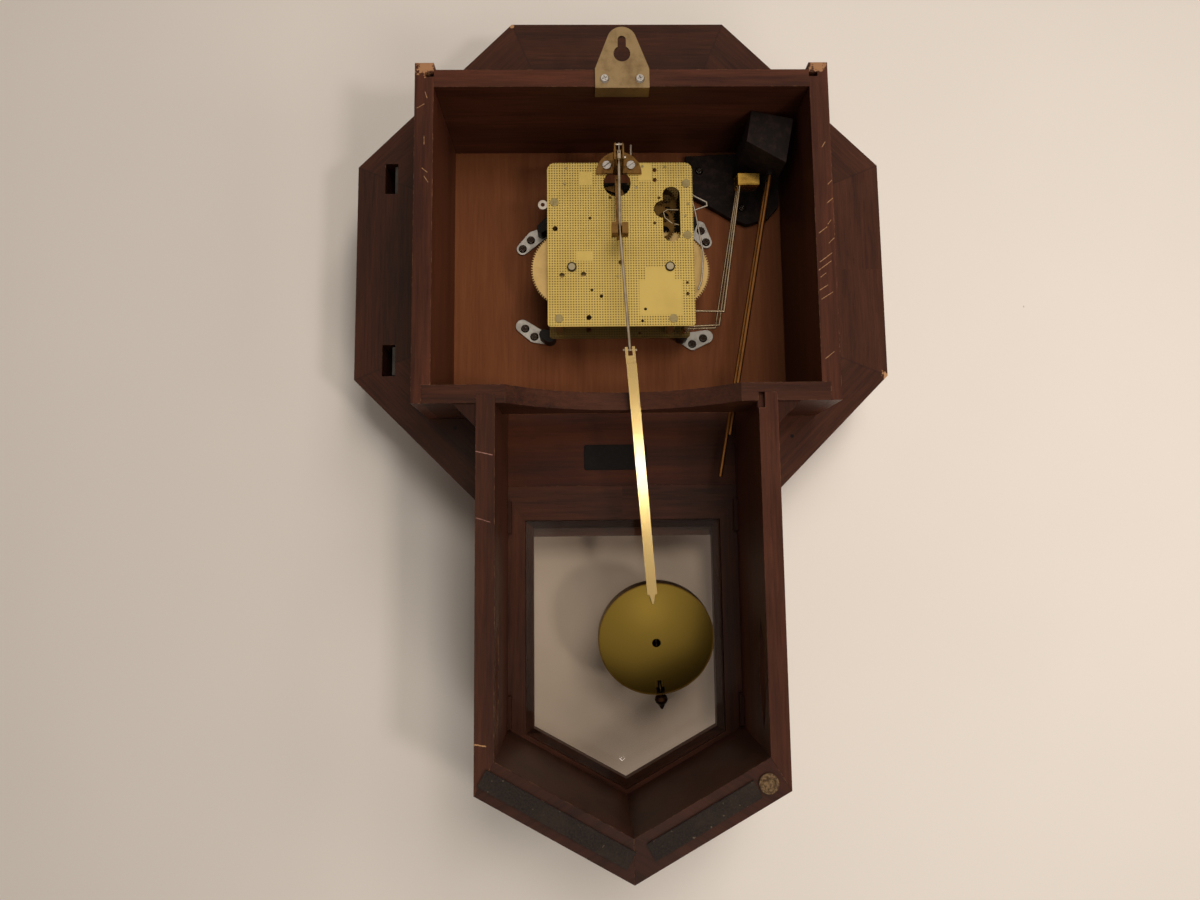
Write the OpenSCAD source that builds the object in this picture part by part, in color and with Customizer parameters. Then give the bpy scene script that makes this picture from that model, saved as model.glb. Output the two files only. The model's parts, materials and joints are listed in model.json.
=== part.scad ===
// Wall regulator clock: octagon head, pentagonal drop with a window, two-spring striking movement.
// Frame: X across (viewed from the front, +X is the viewer's right), Y depth (front is -Y), Z up.
// The origin is the centre of the hanger's keyhole, on the plane of the wall.

/* [Case box] */
// Outer width of the box
box_w = 241; // [225:1:250]
// Height of the box, from the lower face of its bottom board to the upper face of its top rail
box_h = 196.5; // [190:0.5:205]
// Depth of the box boards, from the wall side to the dial board
box_d = 82.6; // [78:0.1:92]
// Thickness of the two side boards
side_t = 11; // [9:0.5:13]
// Thickness of the top rail
rail_t = 10.5; // [8:0.5:12]
// Thickness of the bottom board
bottom_t = 10.5; // [8:0.5:12]
// Height of the side boards' ears above the top rail
ear_h = 4.3; // [2:0.1:8]
// Depth of the grooves that house one board in another
housing = 5; // [3:0.5:6]
// Depth of the arc cut in the bottom board for the pendulum
arc_sag = 28.9; // [20:0.1:32]
// Half of the arc's chord at the wall side of the bottom board
arc_half = 66; // [60:0.5:70]
// Depth of the bottom board between the drop's sides
bridge_d = 40; // [38:0.5:42]

/* [Drop] */
// Outer width of the drop
drop_w = 168.6; // [160:0.2:180]
// Height of the drop's straight sides below the box
drop_h = 209.9; // [195:0.1:230]
// Height of the pointed floor below the straight sides
vee_h = 46.1; // [36:0.1:56]
// Thickness of the drop's side boards
drop_t = 10.8; // [9:0.1:12]
// Thickness of the two sloping floor boards
vee_t = 20.5; // [16:0.5:22]
// Depth of the drop's boards, from the wall side to the window frame
drop_d = 78.5; // [76:0.5:82]
// Height of the lens-shaped openings in the drop's sides
lens_h = 61; // [40:1:80]
// Width of the lens-shaped openings
lens_w = 17; // [10:1:24]
// Height of the lens centre above the drop's lower outer corners
lens_up = 59; // [50:1:80]

/* [Octagon ring] */
// How far the octagon stands out past each side of the box
oct_over = 46.6; // [42:0.1:52]
// Height of the octagon's centre above the lower face of the box
oct_z = 93.9; // [88:0.1:98]
// Depth from the wall side of the boards to the back of the octagon
oct_d = 54.9; // [45:0.1:62]
// Front of the octagon ring, measured from the wall side of the boards
front_d = 88.5; // [85:0.5:98]
// Height of the slots for the hinge straps
slot_h = 20; // [16:1:24]
// Width of the slots for the hinge straps
slot_w = 8; // [6:0.5:9]
// Distance of the slots from the ring's outer edge to their middle
slot_in = 21.3; // [18:0.1:26]
// Height of the upper slot above the dial centre
slot_up = 61.5; // [50:0.5:63]
// Depth of the lower slot below the dial centre
slot_down = 57; // [45:0.5:60]

/* [Window] */
// Width of the window frame's side members at their front lip
stile_w = 16; // [12:0.5:20]
// Height of the window frame's lower members, measured along Z at the lip
sill_h = 8.5; // [6:0.5:14]
// Height of the label board, which ends at the seam above the window frame
label_h = 47; // [40:1:52]
// Height of the window frame's top member at the lip
head_h = 27; // [22:1:34]
// Width of the glass seat round the lip
seat_w = 5; // [3:0.5:7]
// Thickness of the window glass
pane_t = 2; // [1.5:0.1:3]

/* [Door] */
// Thickness of the door frame
door_t = 18; // [14:0.5:22]
// Radius of the door's round opening
door_r = 116; // [105:1:120]
// Width of the brass bezel's front flange outside the opening
bezel_w = 5; // [3:0.5:8]
// Depth of the step cut round the door's front edge
step_t = 6; // [3:0.5:8]
// Width of the step cut round the door's front edge
step_w = 9; // [5:0.5:14]
// Radius of the hinge knuckles
knuckle_r = 2.8; // [2.2:0.1:3.4]
// Thickness of the hinge metal
hinge_t = 1.2; // [0.8:0.1:1.6]
// Radius of the hinge pins
hinge_pin_r = 1.15; // [0.9:0.05:1.4]
// Radius of the door knob
knob_r = 8; // [6:0.5:10]

/* [Dial and hands] */
// Radius of the dial plate
dial_r = 117; // [108:1:120]
// Thickness of the dial plate
dial_t = 0.8; // [0.5:0.1:1.2]
// Length of the minute hand from the centre
minute_len = 96; // [80:1:102]
// Length of the hour hand from the centre
hour_len = 66; // [50:1:74]

/* [Movement] */
// Width of the two brass plates
plate_w = 90.6; // [88:0.2:96]
// Height of the two brass plates
plate_h = 104.7; // [102:0.1:110]
// Height of the plates' upper edge above the dial centre
plate_up = 64.3; // [62:0.1:68]
// Thickness of the plates
plate_t = 1.2; // [1:0.1:1.6]
// Space between the plates
plate_gap = 28; // [28:0.5:29]
// Depth from the wall side of the boards to the back plate
plate_d = 39; // [37:0.5:40]
// Distance of the movement's centre line from the middle of the case
move_x = 0.5; // [0:0.1:1]
// Distance of each winding arbor from the centre line
wind_x = 30.3; // [30:0.1:31]
// Depth of the winding arbors below the dial centre
wind_z = 2.9; // [2:0.1:4]
// Radius of the mainspring barrels
barrel_r = 22; // [18:0.5:22]
// Radius of the winding arbors
wind_r = 2.9; // [2.4:0.1:3]
// Radius of the plate pillars
pillar_r = 3; // [2.5:0.1:3.2]
// Running clearance of every pivot in its hole
run = 0.05; // [0.02:0.01:0.08]

/* [Pendulum] */
// Depth from the back plate to the plane in which the pendulum hangs
hang_d = 19; // [18:0.5:20]
// Height of the suspension's bending point above the dial centre
susp_up = 61.6; // [60:0.1:63]
// Length of the leader from the bending point to its hook
leader_len = 121.4; // [112:0.2:126]
// Radius of the leader wire
leader_r = 0.9; // [0.6:0.1:1.2]
// Length of the stick from the hook to the bob's centre
stick_len = 176; // [160:0.5:186]
// Width of the flat stick
stick_w = 5.9; // [5:0.1:7]
// Thickness of the flat stick
stick_t = 1.2; // [0.8:0.1:1.6]
// Lean of the stick towards the window, as the clock lies
lean = 14; // [8:0.5:15]
// Sideways tilt of the stick, as the clock lies
tilt = 5; // [3:0.1:6]
// Radius of the bob
bob_r = 35.4; // [30:0.1:38]
// Depth of the bob's rim
rim_t = 9; // [7:0.5:10]
// Radius of the hole in the bob's back disc
bob_hole_r = 2.7; // [2:0.1:4]

/* [Chime] */
// Radius of the chime rods
chime_r = 1.3; // [1:0.1:1.6]
// Length of the longer rod below its block
chime_long = 197.6; // [180:0.2:205]
// Length of the shorter rod below its block
chime_short = 172.4; // [150:0.2:178]
// Depth of the rods from the wall side of the boards
chime_d = 46; // [46:0.5:50]
// Radius of the hammer wires
wire_r = 0.75; // [0.6:0.05:0.9]
// Length of a hammer head
hammer_len = 13.5; // [10:0.5:15]
// Height of a hammer head
hammer_h = 8; // [6:0.5:9]
// Depth of a hammer head
hammer_d = 5; // [4:0.1:5.2]

/* [Hanger and pads] */
// Thickness of the hanger plate
hanger_t = 1.5; // [1:0.1:2]
// Width of the hanger plate at its base
hanger_w = 31.6; // [26:0.2:36]
// Radius of the keyhole's round part
key_r = 4.9; // [4.4:0.1:5.5]
// Width of the keyhole's slot
key_w = 4.8; // [4.2:0.1:5.2]
// Height of the keyhole's centre above the top rail
key_up = 9; // [8:0.1:11]
// Height of the plate's rounded top above the keyhole's centre
hanger_up = 16.7; // [15.8:0.1:20]
// Depth of the flange folded under the rail
flange_d = 8.6; // [6:0.1:12]
// Width of the felt strips on the floor boards
felt_w = 9.6; // [7:0.1:12]
// Radius of the cork pad
cork_r = 5.3; // [4:0.1:7]

/* [Hidden] */

$fn = 64;
eps = 0.01;
far = 400;

// Planes of depth, all negative towards the front
y_back = -hanger_t;
y_ring = y_back - oct_d;
y_front = y_back - front_d;
y_board = y_back - box_d;
y_drop = y_back - drop_d;
door_gap = 0.3;
y_door = y_front - door_gap;
y_door_face = y_door - door_t;
y_dial = y_front - dial_t;
y_bp = y_back - plate_d;
y_in = y_bp - plate_t;
y_fp = y_in - plate_gap;
y_hang = y_bp + hang_d;

// Heights
z_rail = -key_up;
z_box = z_rail - box_h;
z_dial = z_box + oct_z;
z_ear = z_rail + ear_h;
z_corner = z_box - drop_h;
z_apex = z_corner - vee_h;
board_low = 6;
z_seam = z_box + board_low - label_h;
half_in = box_w / 2 - side_t;
drop_half = drop_w / 2;
drop_in = drop_half - drop_t;
vee_slope = vee_h / drop_half;
vee_rise = vee_t * sqrt(1 + pow(vee_slope, 2));
oct_half = box_w / 2 + oct_over;

// Wood colours
dark_wood = [0.24, 0.13, 0.10];
warm_wood = [0.35, 0.19, 0.11];
brass = [0.78, 0.68, 0.36];
steel = [0.70, 0.70, 0.68];
black = [0.08, 0.08, 0.09];

// Extrudes a drawing in X and Z from the plane y towards the front
module slab(y, t) {
    translate([0, y, 0]) rotate([90, 0, 0]) linear_extrude(t) children();
}

// A round bar along Y, from the plane y towards the front
module bar(p, y, len, r) {
    translate([p[0], y, p[1]]) rotate([90, 0, 0]) cylinder(h = len, r = r);
}

// A round wire through the points of a route, with round joints
module wire(route, r) {
    for (i = [0 : len(route) - 2]) {
        span = route[i + 1] - route[i];
        reach = norm(span);
        translate(route[i])
            rotate([0, acos(span[2] / reach), atan2(span[1], span[0])])
                cylinder(h = reach, r = r, $fn = 24);
    }
    for (p = route) translate(p) sphere(r = r * 1.04, $fn = 24);
}

function toward(p, q, d) = p + (q - p) / norm(q - p) * d;
function heading(p, q) = atan2(q[1] - p[1], q[0] - p[0]);
function ring_point(r, a) = [r * cos(a), r * sin(a)];

// Case boards

side_drop_gap = 2.7;

module side_board(sign) {
    inner = sign * half_in;
    outer = sign * box_w / 2;
    low = min(inner, outer);
    difference() {
        translate([low, y_board, z_box]) cube([side_t, box_d, z_ear - z_box]);
        translate([inner + (sign < 0 ? -housing : 0), y_board - eps, z_box - eps])
            cube([housing, box_d + 2 * eps, bottom_t + eps]);
        translate([sign > 0 ? inner - eps : inner - housing, y_board - eps, z_rail - rail_t])
            cube([housing + eps, box_d - groove_stop, rail_t]);
        translate([sign > 0 ? inner - eps : inner - housing + eps, y_back - groove_stop - eps, z_rail - 4.3])
            cube([housing, groove_stop + 1, side_drop_gap]);
    }
}

groove_stop = 4;

module side_board_left() { color(dark_wood) side_board(-1); }
module side_board_right() { color(dark_wood) side_board(1); }

module top_rail() {
    color(dark_wood) union() {
        translate([-half_in, y_board, z_rail - rail_t]) cube([2 * half_in, box_d, rail_t]);
        translate([-half_in - housing, y_board, z_rail - rail_t])
            cube([2 * (half_in + housing), box_d - groove_stop, rail_t]);
    }
}

arc_r = (pow(arc_half, 2) + pow(arc_sag, 2)) / (2 * arc_sag);
arc_x = 2;

module bottom_board() {
    color(dark_wood) difference() {
        translate([-half_in - housing, y_board, z_box])
            cube([2 * (half_in + housing), box_d, bottom_t]);
        translate([-drop_in, y_board - eps, z_box - eps])
            cube([2 * drop_in, box_d - bridge_d, bottom_t + 2 * eps]);
        translate([arc_x, y_back - arc_sag + arc_r, z_box - eps])
            cylinder(h = bottom_t + 2 * eps, r = arc_r, $fn = 160);
        for (s = [-1, 1]) translate([s * (drop_half - drop_t / 2) - drop_t / 2, y_drop - eps, z_box - eps])
            cube([drop_t, drop_d + 2 * eps, housing + eps]);
    }
}

// The drop: two sides with lens openings and two sloping floor boards

lens_y = y_back - 15;
lens_r = (pow(lens_h / 2, 2) + pow(lens_w / 2, 2)) / lens_w;

module lens() {
    off = lens_r - lens_w / 2;
    translate([-far / 2, lens_y, z_corner + lens_up])
        rotate([0, 90, 0]) intersection() {
            translate([0, off, 0]) cylinder(h = far, r = lens_r, $fn = 160);
            translate([0, -off, 0]) cylinder(h = far, r = lens_r, $fn = 160);
        }
}

function vee_z(x) = z_corner - vee_h + vee_slope * abs(x);

notch_w = 3.5;

module drop_side(s) {
    difference() {
        slab(y_back, drop_d) polygon([[s * drop_in, z_box + housing], [s * drop_half, z_box + housing],
            [s * drop_half, z_corner], [s * drop_in, vee_z(drop_in) + vee_rise]]);
        lens();
        if (s < 0) translate([-drop_in - notch_w, y_back - notch_w, z_box - 4])
            cube([notch_w + eps, notch_w + eps, housing + 4 + eps]);
    }
}

module drop_side_left() { color(dark_wood) drop_side(-1); }
module drop_side_right() { color(dark_wood) drop_side(1); }

module drop_floor(s) {
    slab(y_back, drop_d) polygon([[0, z_apex], [s * drop_half, z_corner],
        [s * drop_in, vee_z(drop_in) + vee_rise], [0, z_apex + vee_rise]]);
}

module drop_floor_left() { color(dark_wood) drop_floor(-1); }
module drop_floor_right() { color(dark_wood) drop_floor(1); }

block_leg = 13;
bead_t = 2.5;

// Triangular blocks under the box, and short beads that hold the window glass
module glue_blocks() {
    color(dark_wood) for (s = [-1, 1]) {
        slab(y_back - 1, oct_d - 1) polygon([[s * drop_half, z_box], [s * (drop_half + block_leg), z_box],
            [s * drop_half, z_box - block_leg]]);
        for (z = [z_seam - 10, z_corner + 38])
            translate([s > 0 ? drop_in - bead_t : -drop_in, y_drop, z - 20]) cube([bead_t, 5, 20]);
    }
}

// The octagon ring: seven mitred segments round the box and the drop

module octagon(half) {
    polygon([for (k = [0 : 7]) ring_point(half / cos(22.5), 22.5 + 45 * k)]);
}

module wedge(k) {
    polygon([[0, 0], ring_point(far, 45 * k - 22.5), ring_point(far, 45 * k + 22.5)]);
}

module case_outline() {
    translate([-box_w / 2, z_box]) square([box_w, z_rail - z_box]);
    for (s = [0, 1]) translate([s > 0 ? half_in : -box_w / 2, z_box]) square([side_t, z_ear - z_box]);
    translate([-drop_half, z_box - far]) square([drop_w, far + eps]);
}

strap_x = oct_half - slot_in;
slot_z = [z_dial + slot_up, z_dial - slot_down];
magnet = [30, 8, 8];
magnet_x = -oct_half + 17;

module octagon_ring() {
    color(dark_wood) difference() {
        union() for (k = [0, 1, 2, 3, 4, 5, 7]) slab(y_ring, oct_d_front) difference() {
            translate([0, z_dial]) intersection() {
                octagon(oct_half);
                wedge(k);
            }
            case_outline();
        }
        for (z = slot_z) {
            translate([strap_x - slot_w / 2, y_front - eps, z - slot_h / 2])
                cube([slot_w, oct_d_front + 2 * eps, slot_h]);
            translate([strap_x - slot_w / 2, y_front - eps, z - slot_h / 2])
                cube([far, hinge_t + eps, slot_h]);
        }
        translate([magnet_x - magnet[1] / 2, y_front - eps, z_dial - magnet[0] / 2])
            cube([magnet[1], magnet[2] + eps, magnet[0]]);
    }
}

oct_d_front = front_d - oct_d;

centre = [move_x, z_dial];
wind = [for (s = [1, -1]) [move_x + s * wind_x, z_dial - wind_z]];
board_hole_r = 6;

module dial_board() {
    color(warm_wood) slab(y_board, front_d - box_d) difference() {
        translate([-box_w / 2, z_box]) square([box_w, box_h]);
        translate([-drop_in - eps, z_box - eps]) square([2 * drop_in + 2 * eps, board_low + eps]);
        translate(centre) circle(r = board_hole_r);
        for (p = wind) translate(p) circle(r = board_hole_r);
    }
}

module label_board() {
    color(warm_wood) slab(y_drop, front_d - drop_d) {
        translate([-drop_in, z_seam]) square([2 * drop_in, label_h]);
        for (s = [-1, 0]) translate([s < 0 ? -drop_half : drop_in - eps, z_seam])
            square([drop_t + eps, z_box - z_seam]);
    }
}

label = [40.6, 16.3, 0.6];
label_at = [4.1, z_box - 22.8];

module label_plate() {
    r = 1.5;
    color(black) slab(y_drop + label[2], label[2]) difference() {
        translate(label_at) square([label[0], label[1]], center = true);
        for (u = [-1, 1]) for (v = [-1, 1])
            translate(label_at + [u * (label[0] / 2 - r), v * (label[1] / 2 - r)]) difference() {
                translate([u > 0 ? 0 : -r - 1, v > 0 ? 0 : -r - 1]) square(r + 1);
                circle(r = r);
            }
    }
}

// The fixed window: a pentagonal frame of five members and its glass

function pent(half, top, low, apex) = [[-half, top], [half, top], [half, low], [0, apex], [-half, low]];
lip_half = drop_in - stile_w;
lip_top = z_seam - head_h;
lip_apex = z_apex + vee_rise + sill_h;
lip_low = lip_apex + vee_slope * lip_half;
seat_half = lip_half + seat_w;
seat_apex = lip_apex - seat_w * sqrt(1 + pow(vee_slope, 2));
seat_low = seat_apex + vee_slope * seat_half;
seat_top = lip_top + seat_w;
seat_d = 3;
seat_gap = 0.4;

module frame_member(k) {
    out = pent(drop_half, z_seam, z_corner, z_apex);
    inn = pent(lip_half, lip_top, lip_low, lip_apex);
    n = (k + 1) % 5;
    polygon([out[k], out[n], inn[n], inn[k]]);
}

module window_frame() {
    color(dark_wood) for (k = [0 : 4]) difference() {
        slab(y_drop, front_d - drop_d) frame_member(k);
        slab(y_drop + eps, seat_d + eps) polygon(pent(seat_half, seat_top, seat_low, seat_apex));
    }
}

module window_glass() {
    g = seat_gap;
    color([0.8, 0.85, 0.85, 0.3]) slab(y_drop - seat_d + pane_t, pane_t)
        polygon(pent(seat_half - g, seat_top - g, seat_low + g / 2, seat_apex + g));
}

// Hanger plate with its keyhole, and the pads that rest on the wall

hanger_top_r = 8.6;
hanger_fold = 0.1;
hanger_low = rail_t + key_up + hanger_fold;
shoulder_z = -key_up - 0.2;
screw_x = 10.3;
screw_z = -key_up - rail_t / 2 - 1.4;

module hanger_plate() {
    top = [0, hanger_up - hanger_top_r];
    edge = [hanger_w / 2, shoulder_z];
    a = heading(top, edge) + acos(hanger_top_r / norm(edge - top));
    t = top + ring_point(hanger_top_r, a);
    slot_top = 11.1 - key_w / 2;
    color([0.62, 0.58, 0.48]) union() {
        difference() {
            slab(0, hanger_t) {
                translate(top) circle(r = hanger_top_r);
                polygon([t, edge, [hanger_w / 2, -hanger_low - hanger_t],
                    [-hanger_w / 2, -hanger_low - hanger_t], [-edge[0], edge[1]], [-t[0], t[1]], top]);
            }
            bar([0, 0], 1, hanger_t + 2, key_r);
            bar([0, slot_top], 1, hanger_t + 2, key_w / 2);
            translate([-key_w / 2, -hanger_t - 1, 0]) cube([key_w, hanger_t + 2, slot_top]);
            for (s = [-1, 1]) bar([s * screw_x, screw_z], 1, hanger_t + 2, screw_r);
        }
        translate([-hanger_w / 2, -hanger_t - flange_d, -hanger_low - hanger_t])
            cube([hanger_w, flange_d + eps, hanger_t]);
    }
}

screw_r = 1.5;
head_wide = 2.8;
head_tall = 1.3;

// A round-headed screw with a cross recess, its head proud of the plane y towards the wall
module cross_screw(p, y, depth) {
    difference() {
        union() {
            bar(p, y, depth, screw_r - 0.05);
            translate([p[0], y + head_tall, p[1]]) rotate([90, 0, 0])
                cylinder(h = head_tall, r1 = head_wide * 0.75, r2 = head_wide, $fn = 32);
        }
        for (a = [0, 90]) translate([p[0], y + head_tall, p[1]]) rotate([90, a + 20, 0])
            translate([-head_wide * 0.5, -0.3, -eps]) cube([head_wide, 0.6, 0.8]);
    }
}

module slot_screw(p, y, depth) {
    difference() {
        union() {
            bar(p, y, depth, screw_r - 0.05);
            bar(p, y + head_tall, head_tall, head_wide * 0.95);
        }
        translate([p[0], y + head_tall, p[1]]) rotate([0, 35, 0])
            translate([-head_wide, -0.7, -0.35]) cube([2 * head_wide, 0.8, 0.7]);
    }
}

foot_screws = [[58.6, 30.2, 64.1, 24.2], [62.5, -30.3, 56.5, -35.8],
    [-55.5, 36.1, -58.8, 28.2], [-55.1, -37.7, -47.8, -41.5]];
foot_t = 1.5;
gong_screw_at = [[-55, 76.7], [-82.8, 50.7]];
gong_screws = [for (q = gong_screw_at) [q[0], z_dial + q[1]]];
base_t = 5;
rail_screw = 9;
board_screw = 4;

module screws() {
    color(steel) {
        for (s = [-1, 1]) cross_screw([s * screw_x, screw_z], 0, rail_screw);
        for (f = foot_screws) for (k = [0, 2])
            cross_screw([f[k], z_dial + f[k + 1]], y_board + foot_t, foot_t + board_screw);
        for (p = gong_screws) cross_screw(p, y_board + base_t, base_t + board_screw);
        for (s = [-1, 1])
            slot_screw([susp_x + s * bracket_screw_x, z_susp], y_bp + bracket_t, bracket_t + plate_t);
    }
}

pad_slope = atan(vee_slope);

// Felt strips along both floor boards, and a round cork pad at one corner
module wall_pads() {
    color([0.35, 0.34, 0.32]) {
        for (s = [[1, 1.5, drop_half - 4.3], [-1, 9, drop_half - 18.3]]) {
            start = s[1] / cos(pad_slope);
            mid = z_apex + vee_t / 2 / cos(pad_slope);
            translate([0, 0, mid]) rotate([0, -s[0] * pad_slope + (s[0] < 0 ? 180 : 0), 0])
                translate([start, -hanger_t, -felt_w / 2])
                    cube([(s[2] - s[1]) / cos(pad_slope), hanger_t, felt_w]);
        }
    }
    color([0.55, 0.47, 0.30]) bar([-drop_in + 1.6, z_corner + 4.2], 0, hanger_t, cork_r);
}

// The dial door: eight mitred members with a stepped edge, brass bezel, glass, knob and hinges

glass_t = 2;
glass_seat_r = door_r + 8;
seat_depth = 9;

module door_frame() {
    color(dark_wood) difference() {
        union() for (k = [0 : 7]) translate([0, 0, z_dial]) {
            slab(y_door, door_t - step_t) intersection() {
                octagon(oct_half);
                wedge(k);
            }
            slab(y_door - door_t + step_t, step_t) intersection() {
                octagon(oct_half - step_w);
                wedge(k);
            }
        }
        bar([0, z_dial], y_door + 1, door_t + 2, door_r);
        bar([0, z_dial], y_door + 1, seat_depth + 1, glass_seat_r);
        for (z = slot_z) translate([strap_x, y_door - hinge_t, z - slot_h / 2])
            cube([far, hinge_t + eps, slot_h]);
        translate([magnet_x - magnet[1] / 2, y_door - hinge_t, z_dial - magnet[0] / 2])
            cube([magnet[1], hinge_t + eps, magnet[0]]);
    }
}

bezel_in = door_r - 4;
bezel_fit = 0.1;

module door_bezel() {
    depth = door_t - seat_depth;
    color(brass) translate([0, y_door - seat_depth - depth, z_dial]) rotate([90, 0, 0])
        rotate_extrude($fn = 180) polygon([[bezel_in, -depth], [door_r - bezel_fit, -depth],
            [door_r - bezel_fit, 0], [door_r + bezel_w, 0], [door_r + bezel_w, 1],
            [door_r + bezel_w - 1.5, 2.2], [door_r - 1, 2.8], [bezel_in, 1.2]]);
    color(brass) translate([0, y_door - seat_depth + glass_t, z_dial]) rotate([-90, 0, 0])
        rotate_extrude($fn = 180) polygon([[glass_seat_r - 5, 0], [glass_seat_r - bezel_fit, 0],
            [glass_seat_r - bezel_fit, 2], [glass_seat_r - 4, 1.4], [glass_seat_r - 5, 0.8]]);
}

module door_glass() {
    color([0.8, 0.85, 0.85, 0.3]) slab(y_door - seat_depth + glass_t, glass_t)
        translate([0, z_dial]) circle(r = glass_seat_r - 0.5, $fn = 180);
}

module door_knob() {
    color(brass) translate([magnet_x + 6, y_door_face + step_t, z_dial]) rotate([90, 0, 0])
        rotate_extrude() polygon([[0, step_t], [5, step_t], [5, step_t + 1], [2.6, step_t + 2],
            [2.4, step_t + 5], [knob_r - 1, step_t + 7], [knob_r, step_t + 9.5],
            [knob_r - 1.5, step_t + 12], [0, step_t + 13]]);
}

pin_x = oct_half + knuckle_r + 0.5;
pin_y = y_front - door_gap / 2;
knuckle_half = slot_h / 2 - 1;
mid_half = knuckle_half / 3;
leaf_gap = 0.1;

// One knuckle of a hinge between two heights, bored for the pin
module knuckle(z, low, high, bore) {
    translate([pin_x, pin_y, z + low]) difference() {
        cylinder(h = high - low, r = knuckle_r);
        translate([0, 0, -1]) cylinder(h = high - low + 2, r = bore);
    }
}

// The door's share of a hinge: a leaf let into the door and the middle knuckle
module door_leaf(z) {
    difference() {
        union() {
            translate([strap_x + 2, y_door - hinge_t, z - knuckle_half])
                cube([oct_half - strap_x - 2, hinge_t, 2 * knuckle_half]);
            translate([oct_half - eps, y_door - hinge_t, z - mid_half + leaf_gap])
                cube([pin_x - oct_half, hinge_t, 2 * mid_half - 2 * leaf_gap]);
            knuckle(z, -mid_half + leaf_gap, mid_half - leaf_gap, 0.1);
        }
        translate([pin_x, pin_y, z - slot_h]) cylinder(h = 2 * slot_h, r = hinge_pin_r + run);
    }
}

module door_hardware() {
    color(steel) {
        for (z = slot_z) door_leaf(z);
        translate([magnet_x - magnet[1] / 2 + 0.2, y_door - hinge_t, z_dial - magnet[0] / 2 + 0.2])
            cube([magnet[1] - 0.4, hinge_t, magnet[0] - 0.4]);
    }
}

tab_t = 2;

// The case's share of a hinge: a tab through the slot, a flange and the two outer knuckles
module strap(z) {
    difference() {
        union() {
            translate([strap_x - slot_w / 2 + 0.2, y_ring - oct_d_front, z - knuckle_half])
                cube([tab_t, oct_d_front - 2, 2 * knuckle_half]);
            translate([strap_x - slot_w / 2 + 0.2, y_front, z - knuckle_half])
                cube([pin_x - strap_x + slot_w / 2 - 0.2, hinge_t, 2 * knuckle_half]);
            knuckle(z, mid_half, knuckle_half, 0.1);
            knuckle(z, -knuckle_half, -mid_half, 0.1);
        }
        translate([pin_x, pin_y, z - slot_h]) cylinder(h = 2 * slot_h, r = hinge_pin_r);
        translate([oct_half - 0.2, y_front - 10, z - mid_half]) cube([20, 20, 2 * mid_half]);
    }
    translate([pin_x, pin_y, z - knuckle_half - 0.5]) cylinder(h = 2 * knuckle_half + 1, r = hinge_pin_r);
}

module hinge_straps() { color(steel) for (z = slot_z) strap(z); }

module catch_magnet() {
    color([0.2, 0.2, 0.22]) translate([magnet_x - magnet[1] / 2, y_front, z_dial - magnet[0] / 2])
        cube([magnet[1], magnet[2], magnet[0]]);
}

// Dial, collets and hands

dial_hole_r = 4.8;
wind_hole_r = 5.2;
collet_t = 0.3;
tube_in = 2.35;
tube_out = 3.4;
cannon_r = 2.3;
hour_gap = 0.6;
hand_t = 0.8;
y_hour = y_dial - collet_t - hour_gap + 0.3;
y_minute = y_hour - hand_t - 1.4;

module dial_plate() {
    color([0.9, 0.86, 0.74]) slab(y_front, dial_t) difference() {
        translate([0, z_dial]) circle(r = dial_r, $fn = 180);
        translate(centre) circle(r = dial_hole_r);
        for (p = wind) translate(p) circle(r = wind_hole_r);
    }
}

module winding_collets() {
    color(brass) for (p = wind) slab(y_dial, collet_t) translate(p) difference() {
        circle(r = wind_hole_r + 2);
        circle(r = wind_hole_r - 1);
    }
}

// A lance-shaped hand that points straight up or to an angle
module hand(y, len, wide, bore) {
    slab(y, hand_t) difference() {
        translate(centre) union() {
            circle(r = bore + 2.6);
            polygon([[-wide * 0.6, -len * 0.16], [wide * 0.6, -len * 0.16], [wide * 0.35, len * 0.62],
                [wide, len * 0.76], [0, len], [-wide, len * 0.76], [-wide * 0.35, len * 0.62]]);
        }
        translate(centre) circle(r = bore);
    }
}

// Turns a drawing about the hand arbor, as a clock hand turns seen from the front
module set_to(a) {
    translate([centre[0], 0, centre[1]]) rotate([0, a, 0]) translate([-centre[0], 0, -centre[1]]) children();
}

hour_at = 304;
minute_at = 48;

module hour_hand() { color(black) set_to(hour_at) hand(y_hour, hour_len, 4.6, tube_out); }
module minute_hand() { color(black) set_to(minute_at) hand(y_minute, minute_len, 3.6, cannon_r); }

module hand_nut() {
    color(brass) difference() {
        bar(centre, y_minute - hand_t, 1.8, 3.4);
        bar(centre, y_minute, hand_t + 3, post_r);
    }
}

// Gear teeth

post_r = 1.4;
tooth_m = 0.5;
great_m = 0.52;
great_n = 96;
centre_pin_n = 21;
centre_n = 100;
third_pin_n = 36;
third_n = 60;
escape_pin_n = 13;
strike_pin_n = 17;
strike_n = 52;
warn_pin_n = 14;
warn_n = 50;
fly_pin_n = 12;
cannon_n = 20;
minute_n = 60;
minute_pin_n = 16;
hour_n = 64;

function gear(n, m, a) = let (step = 360 / n, r = n * m / 2) [for (i = [0 : n - 1])
    for (k = [[-0.27, -1.2], [-0.17, 0], [-0.07, 0.9], [0.07, 0.9], [0.17, 0], [0.27, -1.2]])
        ring_point(r + k[1] * m, a + step * (i + k[0]))];

// A toothed wheel with one tooth centred on the heading a, bored with holes round its hub
module wheel(p, y, t, n, m, a, holes) {
    slab(y, t) translate(p) difference() {
        polygon(gear(n, m, a));
        if (holes > 0) for (i = [0 : holes - 1])
            translate(ring_point(n * m * 0.29, 360 / holes * i)) circle(r = n * m * 0.125, $fn = 32);
    }
}

function half_step(n) = 180 / n;

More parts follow.
